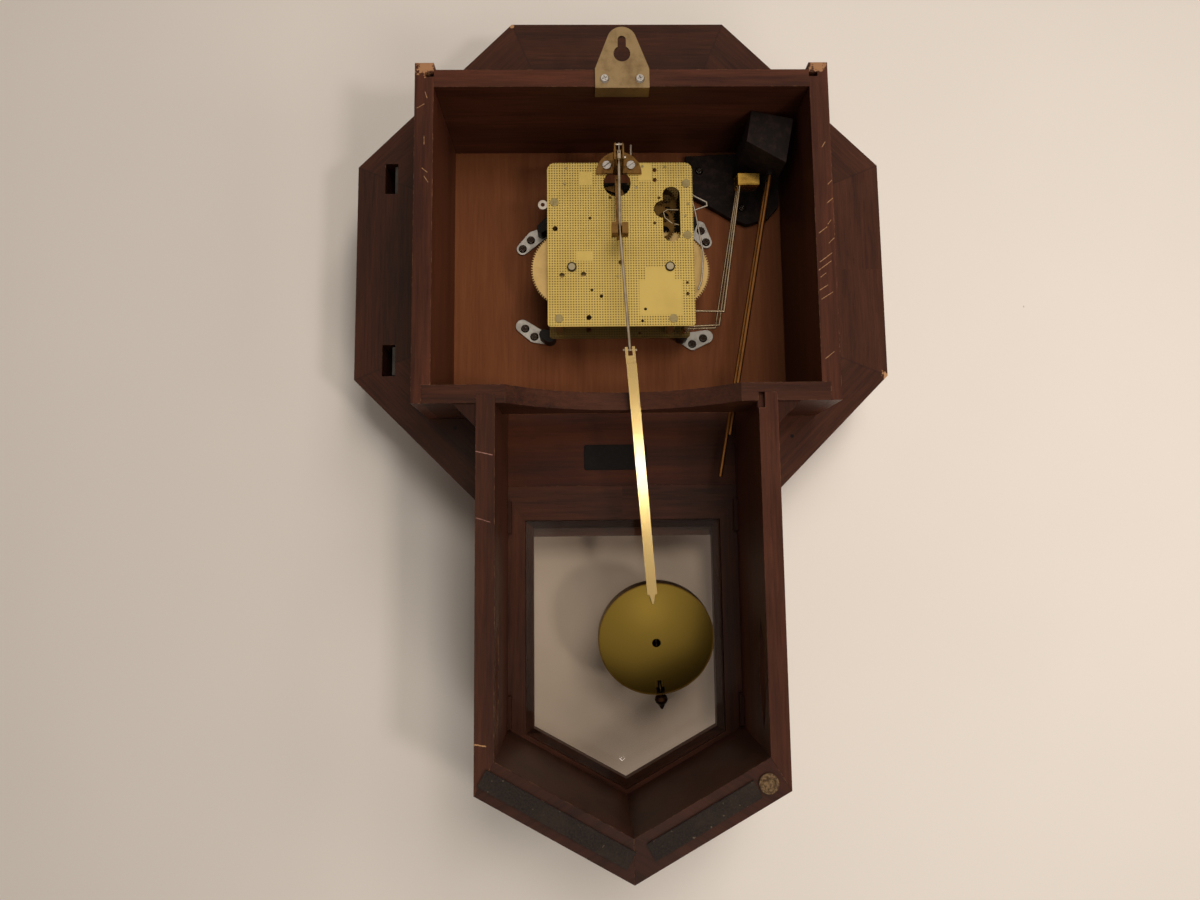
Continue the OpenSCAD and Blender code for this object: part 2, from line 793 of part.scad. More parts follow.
p_time = wind[0];
p_strike = wind[1];
p_third = toward(centre, centre + [18.8, 28.3], (centre_n + third_pin_n) * tooth_m / 2);
p_escape = toward(p_third, centre + [6.3, 41.5], (third_n + escape_pin_n) * tooth_m / 2);
p_second = toward(p_strike, centre + [-21.2, 25.1], (great_n + strike_pin_n) * great_m / 2);
p_warn = toward(p_second, centre + [-24.2, 41.2], (strike_n + warn_pin_n) * tooth_m / 2);
p_fly = toward(p_warn, centre + [-10.1, 48], (warn_n + fly_pin_n) * tooth_m / 2);
p_minute = centre + [0, (cannon_n + minute_n) * tooth_m / 2];
p_pallet = centre + [1.7, 50.7];
p_hammer = [centre + [-42.9, -28.4], centre + [-41.1, -36.9]];
pillar_at = [centre + [40.8, 38.6], centre + [-41.3, 50.6], centre + [38.4, -35.3], centre + [-31.8, -35.7]];
stud_at = centre + [-41.5, 17.2];
pivot_r = 0.9;
small_pivots = [p_third, p_escape, p_second, p_warn, p_fly];
lever_pins = [[34.2, 50.7], [33, 60.6], [-14.3, 61.8], [-28.4, 61.4], [-42.2, 37.2], [-40.3, 29.8],
    [2.1, -8.9]];
bare_holes = [[36.4, -8, 1.6], [23.2, -7.5, 1.6], [18.1, -17.5, 0.9], [12.3, -21.4, 1.1], [20.1, -34.8, 1.6],
    [40.4, 21.7, 1.6], [-21.8, 59.4, 1.3], [-21.8, 52.9, 1.3], [-14.6, -29.7, 0.9], [-12.7, -37.2, 0.9],
    [-40.7, -13.2, 0.9], [-40.8, -20.2, 1.1]];

module plate_outline() {
    w = plate_w / 2;
    top = z_dial + plate_up;
    difference() {
        translate([move_x - w, top - plate_h]) square([plate_w, plate_h]);
        for (s = [-1, 1]) {
            translate([move_x + s * (w - 5), top - 5]) difference() {
                translate([s > 0 ? 0 : -6, 0]) square(6);
                circle(r = 5);
            }
            translate([move_x + s * (w - 2), top - plate_h + 2]) difference() {
                translate([s > 0 ? 0 : -3, -3]) square(3);
                circle(r = 2);
            }
        }
    }
}

module arbor_holes() {
    for (p = small_pivots) translate(p) circle(r = pivot_r + run);
    translate(centre) circle(r = centre_r + run);
    for (p = wind) translate(p) circle(r = wind_r + run);
}

centre_r = 1.5;
clock_hole_r = 8.5;

module back_plate() {
    color(brass) slab(y_bp, plate_t) difference() {
        plate_outline();
        arbor_holes();
        translate(p_pallet) circle(r = clock_hole_r);
        translate(centre + [-31.9, 43.1]) circle(r = 5.4);
        translate(centre + [-31.9, 18.5]) circle(r = 5.4);
        translate(centre + [-37.3, 18.5]) square([10.8, 24.6]);
        translate(centre + [-26.6, 34]) circle(r = 5.6);
        for (h = bare_holes) translate(centre + [h[0], h[1]]) circle(r = h[2], $fn = 24);
        for (h = lever_pins) translate(centre + h) circle(r = 0.8, $fn = 24);
        for (s = [-1, 1]) translate([susp_x + s * bracket_screw_x, z_susp]) circle(r = screw_r);
    }
}

module front_plate() {
    color(brass) slab(y_fp, plate_t) difference() {
        plate_outline();
        arbor_holes();
        translate(p_pallet) circle(r = pivot_r + run);
        for (h = bare_holes) translate(centre + [h[0], h[1]]) circle(r = h[2], $fn = 24);
    }
}

rivet_t = 0.4;

// Pillars between the plates, their riveted ends, the hammer arbors and small lever pins
module pillars() {
    color([0.75, 0.72, 0.66]) {
        for (p = pillar_at) {
            bar(p, y_in, plate_gap, pillar_r);
            bar(p, y_bp + rivet_t, rivet_t, 2.6);
        }
        bar(stud_at, y_bp + rivet_t, rivet_t, 2.6);
        for (p = p_hammer) bar(p, y_in, plate_gap, hammer_bore);
        for (h = lever_pins) bar(centre + h, y_bp + 0.3, plate_t + 0.8, 0.8);
        bar(p_minute, y_fp - plate_t, 9.5, post_r);
    }
}

hammer_bore = 1.2;
leg_t = y_fp - plate_t - y_board - foot_t;
leg_reach = [6, 4, 6, 1];
foot_inner = [[46, 37.6], [46, -38.4], [-44, 41.6], [-40.5, -37.4]];

function foot_mid(i) = [(foot_screws[i][0] + foot_screws[i][2]) / 2,
    z_dial + (foot_screws[i][1] + foot_screws[i][3]) / 2];

// Four black legs, each from a plate corner out to its foot
module legs() {
    color(black) for (i = [0 : 3]) {
        p = [foot_inner[i][0], z_dial + foot_inner[i][1]];
        q = toward(p, foot_mid(i), leg_reach[i]);
        slab(y_fp - plate_t, leg_t) hull() {
            translate(p) circle(r = 4, $fn = 32);
            translate(q) circle(r = 3, $fn = 32);
        }
    }
}

// Four leaf-shaped feet under the legs, each with two screw holes
module feet() {
    color(steel) for (i = [0 : 3]) {
        a = [foot_screws[i][0], z_dial + foot_screws[i][1]];
        b = [foot_screws[i][2], z_dial + foot_screws[i][3]];
        out = b - a;
        slab(y_board + foot_t, foot_t) difference() {
            hull() {
                translate(a) circle(r = 4.2, $fn = 32);
                translate(b) circle(r = 4, $fn = 32);
                translate(a - out * 0.3) circle(r = 4.4, $fn = 32);
                translate([foot_inner[i][0], z_dial + foot_inner[i][1]]) circle(r = 3, $fn = 32);
            }
            for (p = [a, b]) translate(p) circle(r = screw_r);
        }
    }
}

// Suspension: half-moon plate with a slotted post, and the blade that hangs in the slot

bracket_t = 1.6;
bracket_r = 14.2;
bracket_screw_x = 7.5;
susp_x = move_x + 0.6;
z_susp = z_dial + susp_up;
blade_x = move_x + 1.2;
post_w = 6;
post_slot = 4;
blade_t = 0.3;
blade_gap = 0.3;
post_top = z_susp + 4.5;
post_low = z_susp - 6;
blade_dip = 1.2;

module suspension_bracket() {
    base = z_susp - 5;
    color(brass) difference() {
        union() {
            slab(y_bp + bracket_t, bracket_t) intersection() {
                translate([susp_x, base]) circle(r = bracket_r);
                translate([susp_x - 20, base]) square([40, 20]);
            }
            translate([blade_x - post_w / 2, y_bp + bracket_t - eps, post_low])
                cube([post_w, hang_d - bracket_t + 4, post_top - post_low - post_w / 4]);
            for (s = [-1, 1]) bar([blade_x + s * post_w / 4, post_top - post_w / 4],
                y_hang + 4, hang_d - bracket_t + 4, post_w / 4);
        }
        translate([blade_x - post_slot / 2, y_hang - 4.5, post_low - 1])
            cube([post_slot, 20, 20]);
        for (s = [-1, 1])
            bar([susp_x + s * bracket_screw_x, z_susp], y_bp + bracket_t + 1, bracket_t + 2, screw_r);
    }
}

loop_y = y_in - 8.3;
lever_y = y_in - 1.5;

// A collar on a pillar, which carries a bent wire
module collar(p, y, len) {
    difference() {
        bar(p, y, len, pillar_r + 1.2);
        bar(p, y + 1, len + 2, pillar_r + run);
    }
}

module springs_and_levers() {
    p = pillar_at[1];
    q = pillar_at[0];
    color(steel) {
        translate([blade_x - blade_t / 2, y_hang - 3.5, z_susp - blade_dip])
            cube([blade_t, 7, post_top - z_susp + blade_dip]);
        translate([blade_x - 2.6, y_hang, post_top + 0.65]) rotate([0, 90, 0]) cylinder(h = 5.2, r = 0.7);
        translate([susp_x - 7.9, y_in - 1, z_susp - 6]) cylinder(h = 21, r = 1);
        translate([blade_x - post_w / 2 - 1.6, y_hang - 7, post_top - 4]) rotate([0, 90, 0])
            cylinder(h = 1.6, r = 1.1);
        collar(p, lever_y + 1, 9);
        wire([[p[0] - 3.6, loop_y, p[1] - 2], [p[0] - 6.2, loop_y, p[1] - 4.2],
            [p[0] - 14, loop_y, p[1] - 8.3], [p[0] - 14.2, loop_y, p[1] - 10.6],
            [p[0] - 6, loop_y, p[1] - 13.6], [p[0] - 1, loop_y, p[1] - 13.8]], 0.6);
        wire([[p[0] - 2.5, lever_y, p[1] - 2.7], [p[0] - 6, lever_y, p[1] - 19.2],
            [p[0] - 10.2, lever_y, p[1] - 44.7], [p[0] - 8.5, lever_y, p[1] - 62],
            [p[0] - 6.5, lever_y, p[1] - 67]], 0.55);
        slab(y_in - 3, 1.2) difference() {
            union() {
                translate(q) circle(r = pillar_r + 1.2);
                translate(q + [7.4, 0.3]) circle(r = 3);
                translate(q + [0, -1.4]) square([7.4, 3.2]);
            }
            translate(q) circle(r = pillar_r + run);
            translate(q + [7.4, 0.3]) circle(r = 1.3);
        }
    }
}

// The going train

drum_t = 17.4;
great_t = 1.8;
y_great = y_in - 2.8;

// The strike side's great wheel lies deeper than the centre pinion
strike_drop = 2.8;

module barrel(p, mesh, drop) {
    color(brass) difference() {
        union() {
            wheel(p, y_great - drop, great_t, great_n, great_m, mesh, 0);
            bar(p, y_great - drop - great_t + eps, drum_t - drop, barrel_r);
        }
        bar(p, y_in, plate_gap, wind_r + run);
    }
}

module time_barrel() { barrel(p_time, heading(p_time, centre), 0); }
module strike_barrel() { barrel(p_strike, heading(p_strike, p_second), strike_drop); }

square_w = 3.6;

// A winding arbor: round through both plates, squared at the dial
module winding_arbor(p) {
    color(steel) union() {
        bar(p, y_bp + 1, 1 + plate_t + plate_gap + plate_t + 3, wind_r);
        translate([p[0] - square_w / 2, y_dial, p[1] - square_w / 2])
            cube([square_w, y_fp - plate_t - 3 - y_dial + eps, square_w]);
    }
}

module time_winding_arbor() { winding_arbor(p_time); }
module strike_winding_arbor() { winding_arbor(p_strike); }

module pinion_staff(p, y, len, r) {
    bar(p, y_in - 0.3, plate_gap - 0.6, r);
    bar(p, y_bp - 0.2, plate_t + 0.2 + plate_gap + plate_t - 0.2, pivot_r);
    if (len > 0) bar(p, y, len, r);
}

y_thin = y_in - 0.9;
thin_t = 1;
y_cw = y_in - 24.8;

module centre_wheel() {
    color(brass) union() {
        bar(centre, y_bp - 0.2, y_bp - 0.2 - y_minute + hand_t + 1.8, post_r);
        bar(centre, y_bp - 0.2, plate_t + plate_gap + plate_t + 1.5, centre_r);
        wheel(centre, y_great + 0.4, great_t + 0.8, centre_pin_n, great_m,
            heading(centre, p_time) + half_step(centre_pin_n), 0);
        wheel(centre, y_cw, 1.2, centre_n, tooth_m, heading(centre, p_third), 5);
        wheel(centre, y_fp - plate_t - 2.2, 2.4, cannon_n, tooth_m, heading(centre, p_minute), 0);
        bar(centre, y_fp - plate_t - 1.5, y_fp - plate_t - 1.5 - y_minute + hand_t, cannon_r);
    }
}

module minute_wheel() {
    p = p_minute;
    color(brass) difference() {
        union() {
            wheel(p, y_fp - plate_t - 2.8, 1.2, minute_n, tooth_m,
                heading(p, centre) + half_step(minute_n), 5);
            wheel(p, y_fp - plate_t - 4 + eps, 4.2, minute_pin_n, tooth_m, heading(p, centre), 0);
        }
        bar(p, y_fp, 30, post_r + run);
    }
}

y_hour_wheel = y_fp - plate_t - 6.2;

module hour_wheel() {
    color(brass) difference() {
        union() {
            wheel(centre, y_hour_wheel, 1.2, hour_n, tooth_m,
                heading(centre, p_minute) + half_step(hour_n), 0);
            bar(centre, y_hour_wheel, y_hour_wheel - y_hour + hand_t, tube_out);
        }
        bar(centre, y_hour_wheel + 1, 60, tube_in);
    }
}

module third_wheel() {
    p = p_third;
    color(brass) union() {
        pinion_staff(p, y_in - 1, 0, 1.3);
        wheel(p, y_cw + 0.4, 2, third_pin_n, tooth_m, heading(p, centre) + half_step(third_pin_n), 0);
        wheel(p, y_thin, thin_t, third_n, tooth_m, heading(p, p_escape), 5);
    }
}

escape_n = 30;
escape_r = 7.4;
y_escape = y_in - 9;

module escape_wheel() {
    p = p_escape;
    color(brass) union() {
        pinion_staff(p, y_in - 1, 0, 1.1);
        wheel(p, y_in - 0.6, 1.6, escape_pin_n, tooth_m, heading(p, p_third) + half_step(escape_pin_n), 0);
        slab(y_escape, 1) translate(p) polygon([for (i = [0 : escape_n - 1])
            for (k = [[0, 1], [0.25, 0.8], [0.75, 0.8]])
                ring_point(escape_r * k[1], 360 / escape_n * (i + k[0]))]);
    }
}

// The crutch: arbor and anchor, a flat arm, and a fork that the leader passes through

fork_z = -47.8;
fork_x = 1.7;
y_arm = y_bp + 7;
fork_gap = 0.35;
fork_w = 10;
fork_h = 6.8;

module crutch() {
    p = p_pallet;
    a = heading(p, p_escape);
    fx = fork_x;
    fz = z_susp + fork_z;
    color([0.72, 0.55, 0.28]) union() {
        bar(p, y_arm + 1.5, y_arm + 1.5 - y_fp - 0.3, 1.3);
        bar(p, y_arm, y_arm - y_fp + plate_t - 0.2, pivot_r);
        translate([p[0], y_escape, p[1]]) rotate([0, -a, 0]) rotate([90, 0, 0]) linear_extrude(1)
            polygon([[-2, -3], [1.5, -7.6], [6.2, -9.6], [6.8, -8.8], [2.6, -6.2], [1.8, 0],
                [2.6, 6.2], [6.8, 8.8], [6.2, 9.6], [1.5, 7.6], [-2, 3]]);
        translate([0, y_arm, 0]) rotate([90, 0, 0]) linear_extrude(1)
            polygon([[p[0] - 1.6, p[1] + 2], [p[0] + 1.6, p[1] + 2], [fx + 1.6, fz], [fx - 1.6, fz]]);
        translate([fx - 1.6, y_arm - 1, fz - 2]) cube([3.2, y_hang - 3.5 - y_arm + 1 + eps, 3]);
        translate([fx - fork_w / 2, y_hang - 4.5, fz - fork_h / 2]) cube([fork_w, 1.2, fork_h]);
        for (x = [fx + leader_r + fork_gap, fx - fork_w / 2]) translate([x, y_hang - 3.5, fz - fork_h / 2])
            cube([fork_w / 2 - leader_r - fork_gap, 6, fork_h]);
    }
}

// The striking train

module strike_wheel() {
    p = p_second;
    color(brass) union() {
        pinion_staff(p, y_in - 1, 0, 1.3);
        wheel(p, y_great + 0.4 - strike_drop, great_t + 0.8, strike_pin_n, great_m,
            heading(p, p_strike) + half_step(strike_pin_n), 0);
        wheel(p, y_thin, thin_t, strike_n, tooth_m, heading(p, p_warn), 5);
    }
}

y_warn = y_in - 10;

module warning_wheel() {
    p = p_warn;
    color(brass) union() {
        pinion_staff(p, y_in - 1, 0, 1.1);
        wheel(p, y_in - 0.6, 1.6, warn_pin_n, tooth_m, heading(p, p_second) + half_step(warn_pin_n), 0);
        wheel(p, y_warn, 1.2, warn_n, tooth_m, heading(p, p_fly), 5);
    }
}

fan_half = 7;

module fly() {
    p = p_fly;
    color(steel) union() {
        pinion_staff(p, y_in - 1, 0, 1.1);
        wheel(p, y_warn + 0.4, 2, fly_pin_n, tooth_m, heading(p, p_warn) + half_step(fly_pin_n), 0);
        translate([p[0] - fan_half, y_in - 24, p[1] - 0.3]) cube([2 * fan_half, 10, 0.6]);
    }
}

// Three hammers: a collar on its arbor, a bent wire and a brass head

head_at = [-76.8, 57];
head_out = 1.4;
head_bevel = 0.7;

// A brass hammer head: a bevelled block along X, ending just past its wire
module hammer_head(y, x, z) {
    u = hammer_d / 2;
    v = hammer_h / 2;
    b = head_bevel;
    translate([x + head_out - hammer_len, y, z]) rotate([90, 0, 90]) linear_extrude(hammer_len)
        polygon([[-u, -v + b], [-u, v - b], [-u + b, v], [u - b, v], [u, v - b], [u, -v + b], [u - b, -v],
            [b - u, -v]]);
}

module hammer(k, y, elbow, rise) {
    p = p_hammer[k];
    top = centre + head_at + [0, rise];
    start = p + ring_point(hammer_bore + 0.8, heading(p, p + elbow));
    color(steel) union() {
        difference() {
            bar(p, y + 2.2, 4.4, hammer_bore + 1.2);
            bar(p, 0, 100, hammer_bore + run);
        }
        wire([[start[0], y, start[1]], [p[0] + elbow[0], y, p[1] + elbow[1]],
            [top[0], y, top[1] - hammer_h / 2 + eps]], wire_r);
    }
    color(brass) hammer_head(y, top[0], top[1]);
}

hammer_y = [y_in - 8.3, y_in - 13.9, y_in - 19.5];
elbow_a = [-21.5, -0.5];
elbow_b = [-21, 0.8];
elbow_c = [-19.4, 0.4];

module hammer_rear() { hammer(0, hammer_y[0], elbow_a, 0); }
module hammer_middle() { hammer(1, hammer_y[1], elbow_b, 1); }
module hammer_front() { hammer(1, hammer_y[2], elbow_c, 2); }

// The pendulum: leader with its hook, flat stick, two-part bob and rating nut

hook = [move_x - 3.6, y_hang, z_susp - leader_len];
pin_half = 4.1;
clamp_w = 1.8;
hook_pin_r = 0.7;

module pendulum_leader() {
    color(steel) union() {
        difference() {
            translate([blade_x - clamp_w / 2, y_hang - 3, z_susp - 5]) cube([clamp_w, 6, 4.9]);
            translate([blade_x - blade_t / 2 - blade_gap, y_hang - 4, z_susp - blade_dip - 0.5])
                cube([blade_t + 2 * blade_gap, 8, 4]);
        }
        wire([[blade_x, y_hang, z_susp - 4.5], [fork_x, y_hang, z_susp + fork_z],
            [hook[0], y_hang, hook[2] + 0.5]], leader_r);
        translate([hook[0] - pin_half, y_hang, hook[2]]) rotate([0, 90, 0])
            cylinder(h = 2 * pin_half, r = hook_pin_r);
    }
}

// Places what hangs from the hook at the angle at which it lies
module hung() {
    translate(hook) rotate([-lean, 0, 0]) rotate([0, tilt, 0]) children();
}

hook_t = 3;
rod_r = 1.1;
rod_below = 5.5;
stick_end = 28.8;
tip_len = 5.7;
rear_y = rim_t / 3;
disc_t = 0.8;

module pendulum_stick() {
    slot = 3.2;
    strip_y = rear_y + 0.3;
    color(brass) difference() {
        hung() union() {
            translate([-stick_w / 2, strip_y, -stick_len + stick_end])
                cube([stick_w, stick_t, stick_len - stick_end - 8]);
            translate([-stick_w / 2, -hook_t / 2, -9]) cube([stick_w, strip_y + stick_t + hook_t / 2, 1.2]);
            translate([-stick_w / 2, -hook_t / 2, -9]) cube([stick_w, hook_t, 11]);
            slab(strip_y + stick_t, strip_y + stick_t + 1.2) translate([0, stick_end - stick_len])
                polygon([[-1.7, eps], [1.7, eps], [0.5, -tip_len], [-0.5, -tip_len]]);
            translate([0, 0, -stick_len - bob_r - rod_below])
                cylinder(h = bob_r + rod_below + stick_end - 2, r = rod_r);
        }
        hung() translate([-leader_r - 0.4, -2, -3.2]) cube([2 * leader_r + 0.8, 4, slot + 5]);
        translate([hook[0] - 20, hook[1], hook[2]]) rotate([0, 90, 0]) cylinder(h = 40, r = hook_pin_r + run);
    }
}

shell_t = 0.6;
bob_hole_dip = 2.4;

module bob_shell() {
    color(brass) hung() translate([0, 0, -stick_len]) difference() {
        rotate([90, 0, 0]) rotate_extrude($fn = 120) polygon([[bob_r, -rear_y], [bob_r, rim_t - rear_y - 2],
            [bob_r - 0.8, rim_t - rear_y], [bob_r - 8, rim_t - rear_y + 1.6], [0, rim_t - rear_y + 2.4],
            [0, rim_t - rear_y + 2.4 - shell_t], [bob_r - 8, rim_t - rear_y + 1.6 - shell_t],
            [bob_r - 0.8 - shell_t, rim_t - rear_y - shell_t], [bob_r - shell_t, rim_t - rear_y - 2],
            [bob_r - shell_t, -rear_y]]);
        translate([0, 0, -bob_r - 5]) cylinder(h = 20, r = rod_r + 0.4);
    }
}

module bob_back() {
    color([0.62, 0.55, 0.22]) hung() translate([0, 0, -stick_len]) slab(rear_y - 0.5, disc_t) difference() {
        circle(r = bob_r - shell_t, $fn = 120);
        translate([0, -bob_hole_dip]) circle(r = bob_hole_r);
        polygon([[-2.1, stick_end + 0.4], [2.1, stick_end + 0.4], [0.9, stick_end - tip_len - 0.5],
            [-0.9, stick_end - tip_len - 0.5]]);
        translate([-2.5, -bob_r - 1]) square([5, 10]);
    }
}

nut_side = [[0, -0.3], [1.9, -0.3], [1.9, -1.4], [3.3, -2.2], [4.15, -4.1], [3.6, -5.9], [2.3, -7.4],
    [1.7, -8.5], [0.9, -10.2], [0, -11]];

module rating_nut() {
    color([0.3, 0.18, 0.1]) hung() translate([0, 0, -stick_len - bob_r]) difference() {
        rotate_extrude() polygon(nut_side);
        translate([0, 0, -rod_below - 0.3]) cylinder(h = 10, r = rod_r + run);
    }
}

// Chime: a cast block on a base plate, and two rods

base_pts = [[-46, 87], [-109.2, 90], [-108, 52], [-100, 43], [-86, 39], [-74, 44], [-61, 52], [-47, 60]];
block_pts = [[-80.7, 91.4], [-106.4, 86.2], [-100.9, 58], [-77.2, 71.9]];
block_y = y_back - 26.5;
rod_top = [-96, 62.5];
rod_lean = [10.4, 10.5];
rod_step = 10.3;

module gong_block() {
    color(black) union() {
        slab(y_board + base_t, base_t) difference() {
            polygon([for (q = base_pts) [q[0], z_dial + q[1]]]);
            for (p = gong_screws) translate(p) circle(r = screw_r);
        }
        slab(block_y, block_y - y_board - base_t + eps) polygon([for (q = block_pts) [q[0], z_dial + q[1]]]);
        for (k = [0, 1]) translate([rod_top[0], y_back - chime_d - k * rod_step, z_dial + rod_top[1]])
            rotate([0, 180 - rod_lean[k], 0]) cylinder(h = 4, r = chime_r + 1.2);
    }
}

module chime_rods() {
    lens_of = [chime_short, chime_long];
    color([0.62, 0.42, 0.2]) for (k = [0, 1])
        translate([rod_top[0], y_back - chime_d - k * rod_step, z_dial + rod_top[1]])
            rotate([0, 180 - rod_lean[k], 0]) translate([0, 0, 4]) cylinder(h = lens_of[k] - 4, r = chime_r);
}

side_board_left();
side_board_right();
top_rail();
bottom_board();
drop_side_left();
drop_side_right();
drop_floor_left();
drop_floor_right();
glue_blocks();
octagon_ring();
dial_board();
label_board();
label_plate();
window_frame();
window_glass();
hanger_plate();
wall_pads();
screws();
door_frame();
door_bezel();
door_glass();
door_knob();
door_hardware();
hinge_straps();
catch_magnet();
dial_plate();
winding_collets();
hour_hand();
minute_hand();
hand_nut();
back_plate();
front_plate();
pillars();
legs();
feet();
suspension_bracket();
springs_and_levers();
time_barrel();
strike_barrel();
time_winding_arbor();
strike_winding_arbor();
centre_wheel();
minute_wheel();
hour_wheel();
third_wheel();
escape_wheel();
crutch();
strike_wheel();
warning_wheel();
fly();
hammer_rear();
hammer_middle();
hammer_front();
pendulum_leader();
pendulum_stick();
bob_shell();
bob_back();
rating_nut();
gong_block();
chime_rods();
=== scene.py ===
"""Looks of a wall regulator clock, seen from behind as it lies on a pale table.

The clock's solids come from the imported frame. This script gives every solid a procedural
finish, adds the small dressing that has no solid of its own, and builds the table, the lights
and the camera. Units are metres in the clock's own frame: X across, Y depth, Z up.
"""

import json
import logging
import math
from dataclasses import dataclass
from enum import Enum
from typing import Iterable, Optional, Sequence

import bpy
from mathutils import Matrix, Vector

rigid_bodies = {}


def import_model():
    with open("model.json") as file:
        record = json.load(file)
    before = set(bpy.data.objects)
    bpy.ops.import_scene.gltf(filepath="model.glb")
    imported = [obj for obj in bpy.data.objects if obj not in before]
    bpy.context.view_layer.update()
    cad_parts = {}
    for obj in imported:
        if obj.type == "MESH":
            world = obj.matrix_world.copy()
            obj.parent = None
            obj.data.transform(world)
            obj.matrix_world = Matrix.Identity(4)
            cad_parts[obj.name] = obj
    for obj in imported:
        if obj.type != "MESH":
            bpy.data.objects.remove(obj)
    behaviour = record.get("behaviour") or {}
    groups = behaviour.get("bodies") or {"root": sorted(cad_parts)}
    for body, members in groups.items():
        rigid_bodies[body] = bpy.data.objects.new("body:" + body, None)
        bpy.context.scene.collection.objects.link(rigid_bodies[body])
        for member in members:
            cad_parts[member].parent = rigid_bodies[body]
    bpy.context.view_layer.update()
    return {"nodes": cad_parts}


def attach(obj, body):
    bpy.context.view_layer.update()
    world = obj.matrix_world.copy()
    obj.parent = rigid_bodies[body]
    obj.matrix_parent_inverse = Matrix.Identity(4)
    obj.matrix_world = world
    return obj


LOG = logging.getLogger("clock")

Colour = tuple[float, float, float, float]
Point = tuple[float, float, float]
Node = bpy.types.Node
Socket = bpy.types.NodeSocket

ORIGIN = (0.0, 0.0, 0.0)
BLACK = (0.0, 0.0, 0.0, 1.0)
WHITE = (1.0, 1.0, 1.0, 1.0)
QUARTER = math.pi / 2.0

DIAL_CENTRE = (0.0005, -0.1116)
CASE_CENTRE = (0.0, -0.1116)
Y_EDGE = -0.0015
Y_RING_BACK = -0.0564
Y_DIAL = -0.0908

# The dial's print: the minute track's rings and ticks, the hour ticks and the numbers
PRINT_HEIGHT = 0.00003
TRACK_IN, TRACK_OUT, TRACK_HALF = 0.0995, 0.1055, 0.0003
HOUR_IN, HOUR_OUT, HOUR_HALF = 0.0985, 0.1060, 0.0010
NUMBER_RADIUS, NUMBER_SIZE = 0.0835, 0.0215

# Rise of the drop's floor over its run, and the window frame's inner lines
DROP_SLOPE = 0.5469
STILE_X = 0.0635
HEAD_Z = -0.2690
POINT_Z = -0.4355
LOW_Z = -0.33

# The pressed grid of the movement's plates, the cork disc and the bent wire
DIMPLE_PITCH = 0.001615
DIMPLE_SIZE = 0.27
CORK_RADIUS = 0.0062
CLIP_RADIUS = 0.00045

# Depths of the finest relief
DEEP_RELIEF = 0.0006
DIMPLE_DEPTH = 0.0003
BRUSH_RELIEF = 0.0002


def srgb(red: float, green: float, blue: float) -> Colour:
    """Turns display values from 0 to 255 into the linear colour that a shader takes."""

    def channel(value: float) -> float:
        part = value / 255.0
        return part / 12.92 if part <= 0.04045 else ((part + 0.055) / 1.055) ** 2.4

    return (channel(red), channel(green), channel(blue), 1.0)


PALE_WOOD = srgb(168, 122, 84)
SCRATCH_WOOD = srgb(176, 132, 92)
SCRATCH_PINK = srgb(168, 122, 108)
NAIL = srgb(14, 9, 8)


class Grain(Enum):
    """The direction in which the grain of a board runs."""

    ACROSS = "across"
    UPRIGHT = "upright"
    SLOPE_LEFT = "slope_left"
    SLOPE_RIGHT = "slope_right"
    OCTAGON = "octagon"
    WINDOW = "window"


class Effect(Enum):
    """The shared shader effects."""

    WOOD = "fx_wood_grain"
    TURN = "fx_grain_axes"
    OCTAGON = "fx_octagon_axes"
    WINDOW = "fx_window_axes"
    SCRATCH = "fx_scratch"
    SPOT = "fx_spot"
    SMUDGE = "fx_smudge"
    DIMPLES = "fx_dimples"
    EDGE = "fx_edge"
    BRUSH = "fx_brushed"


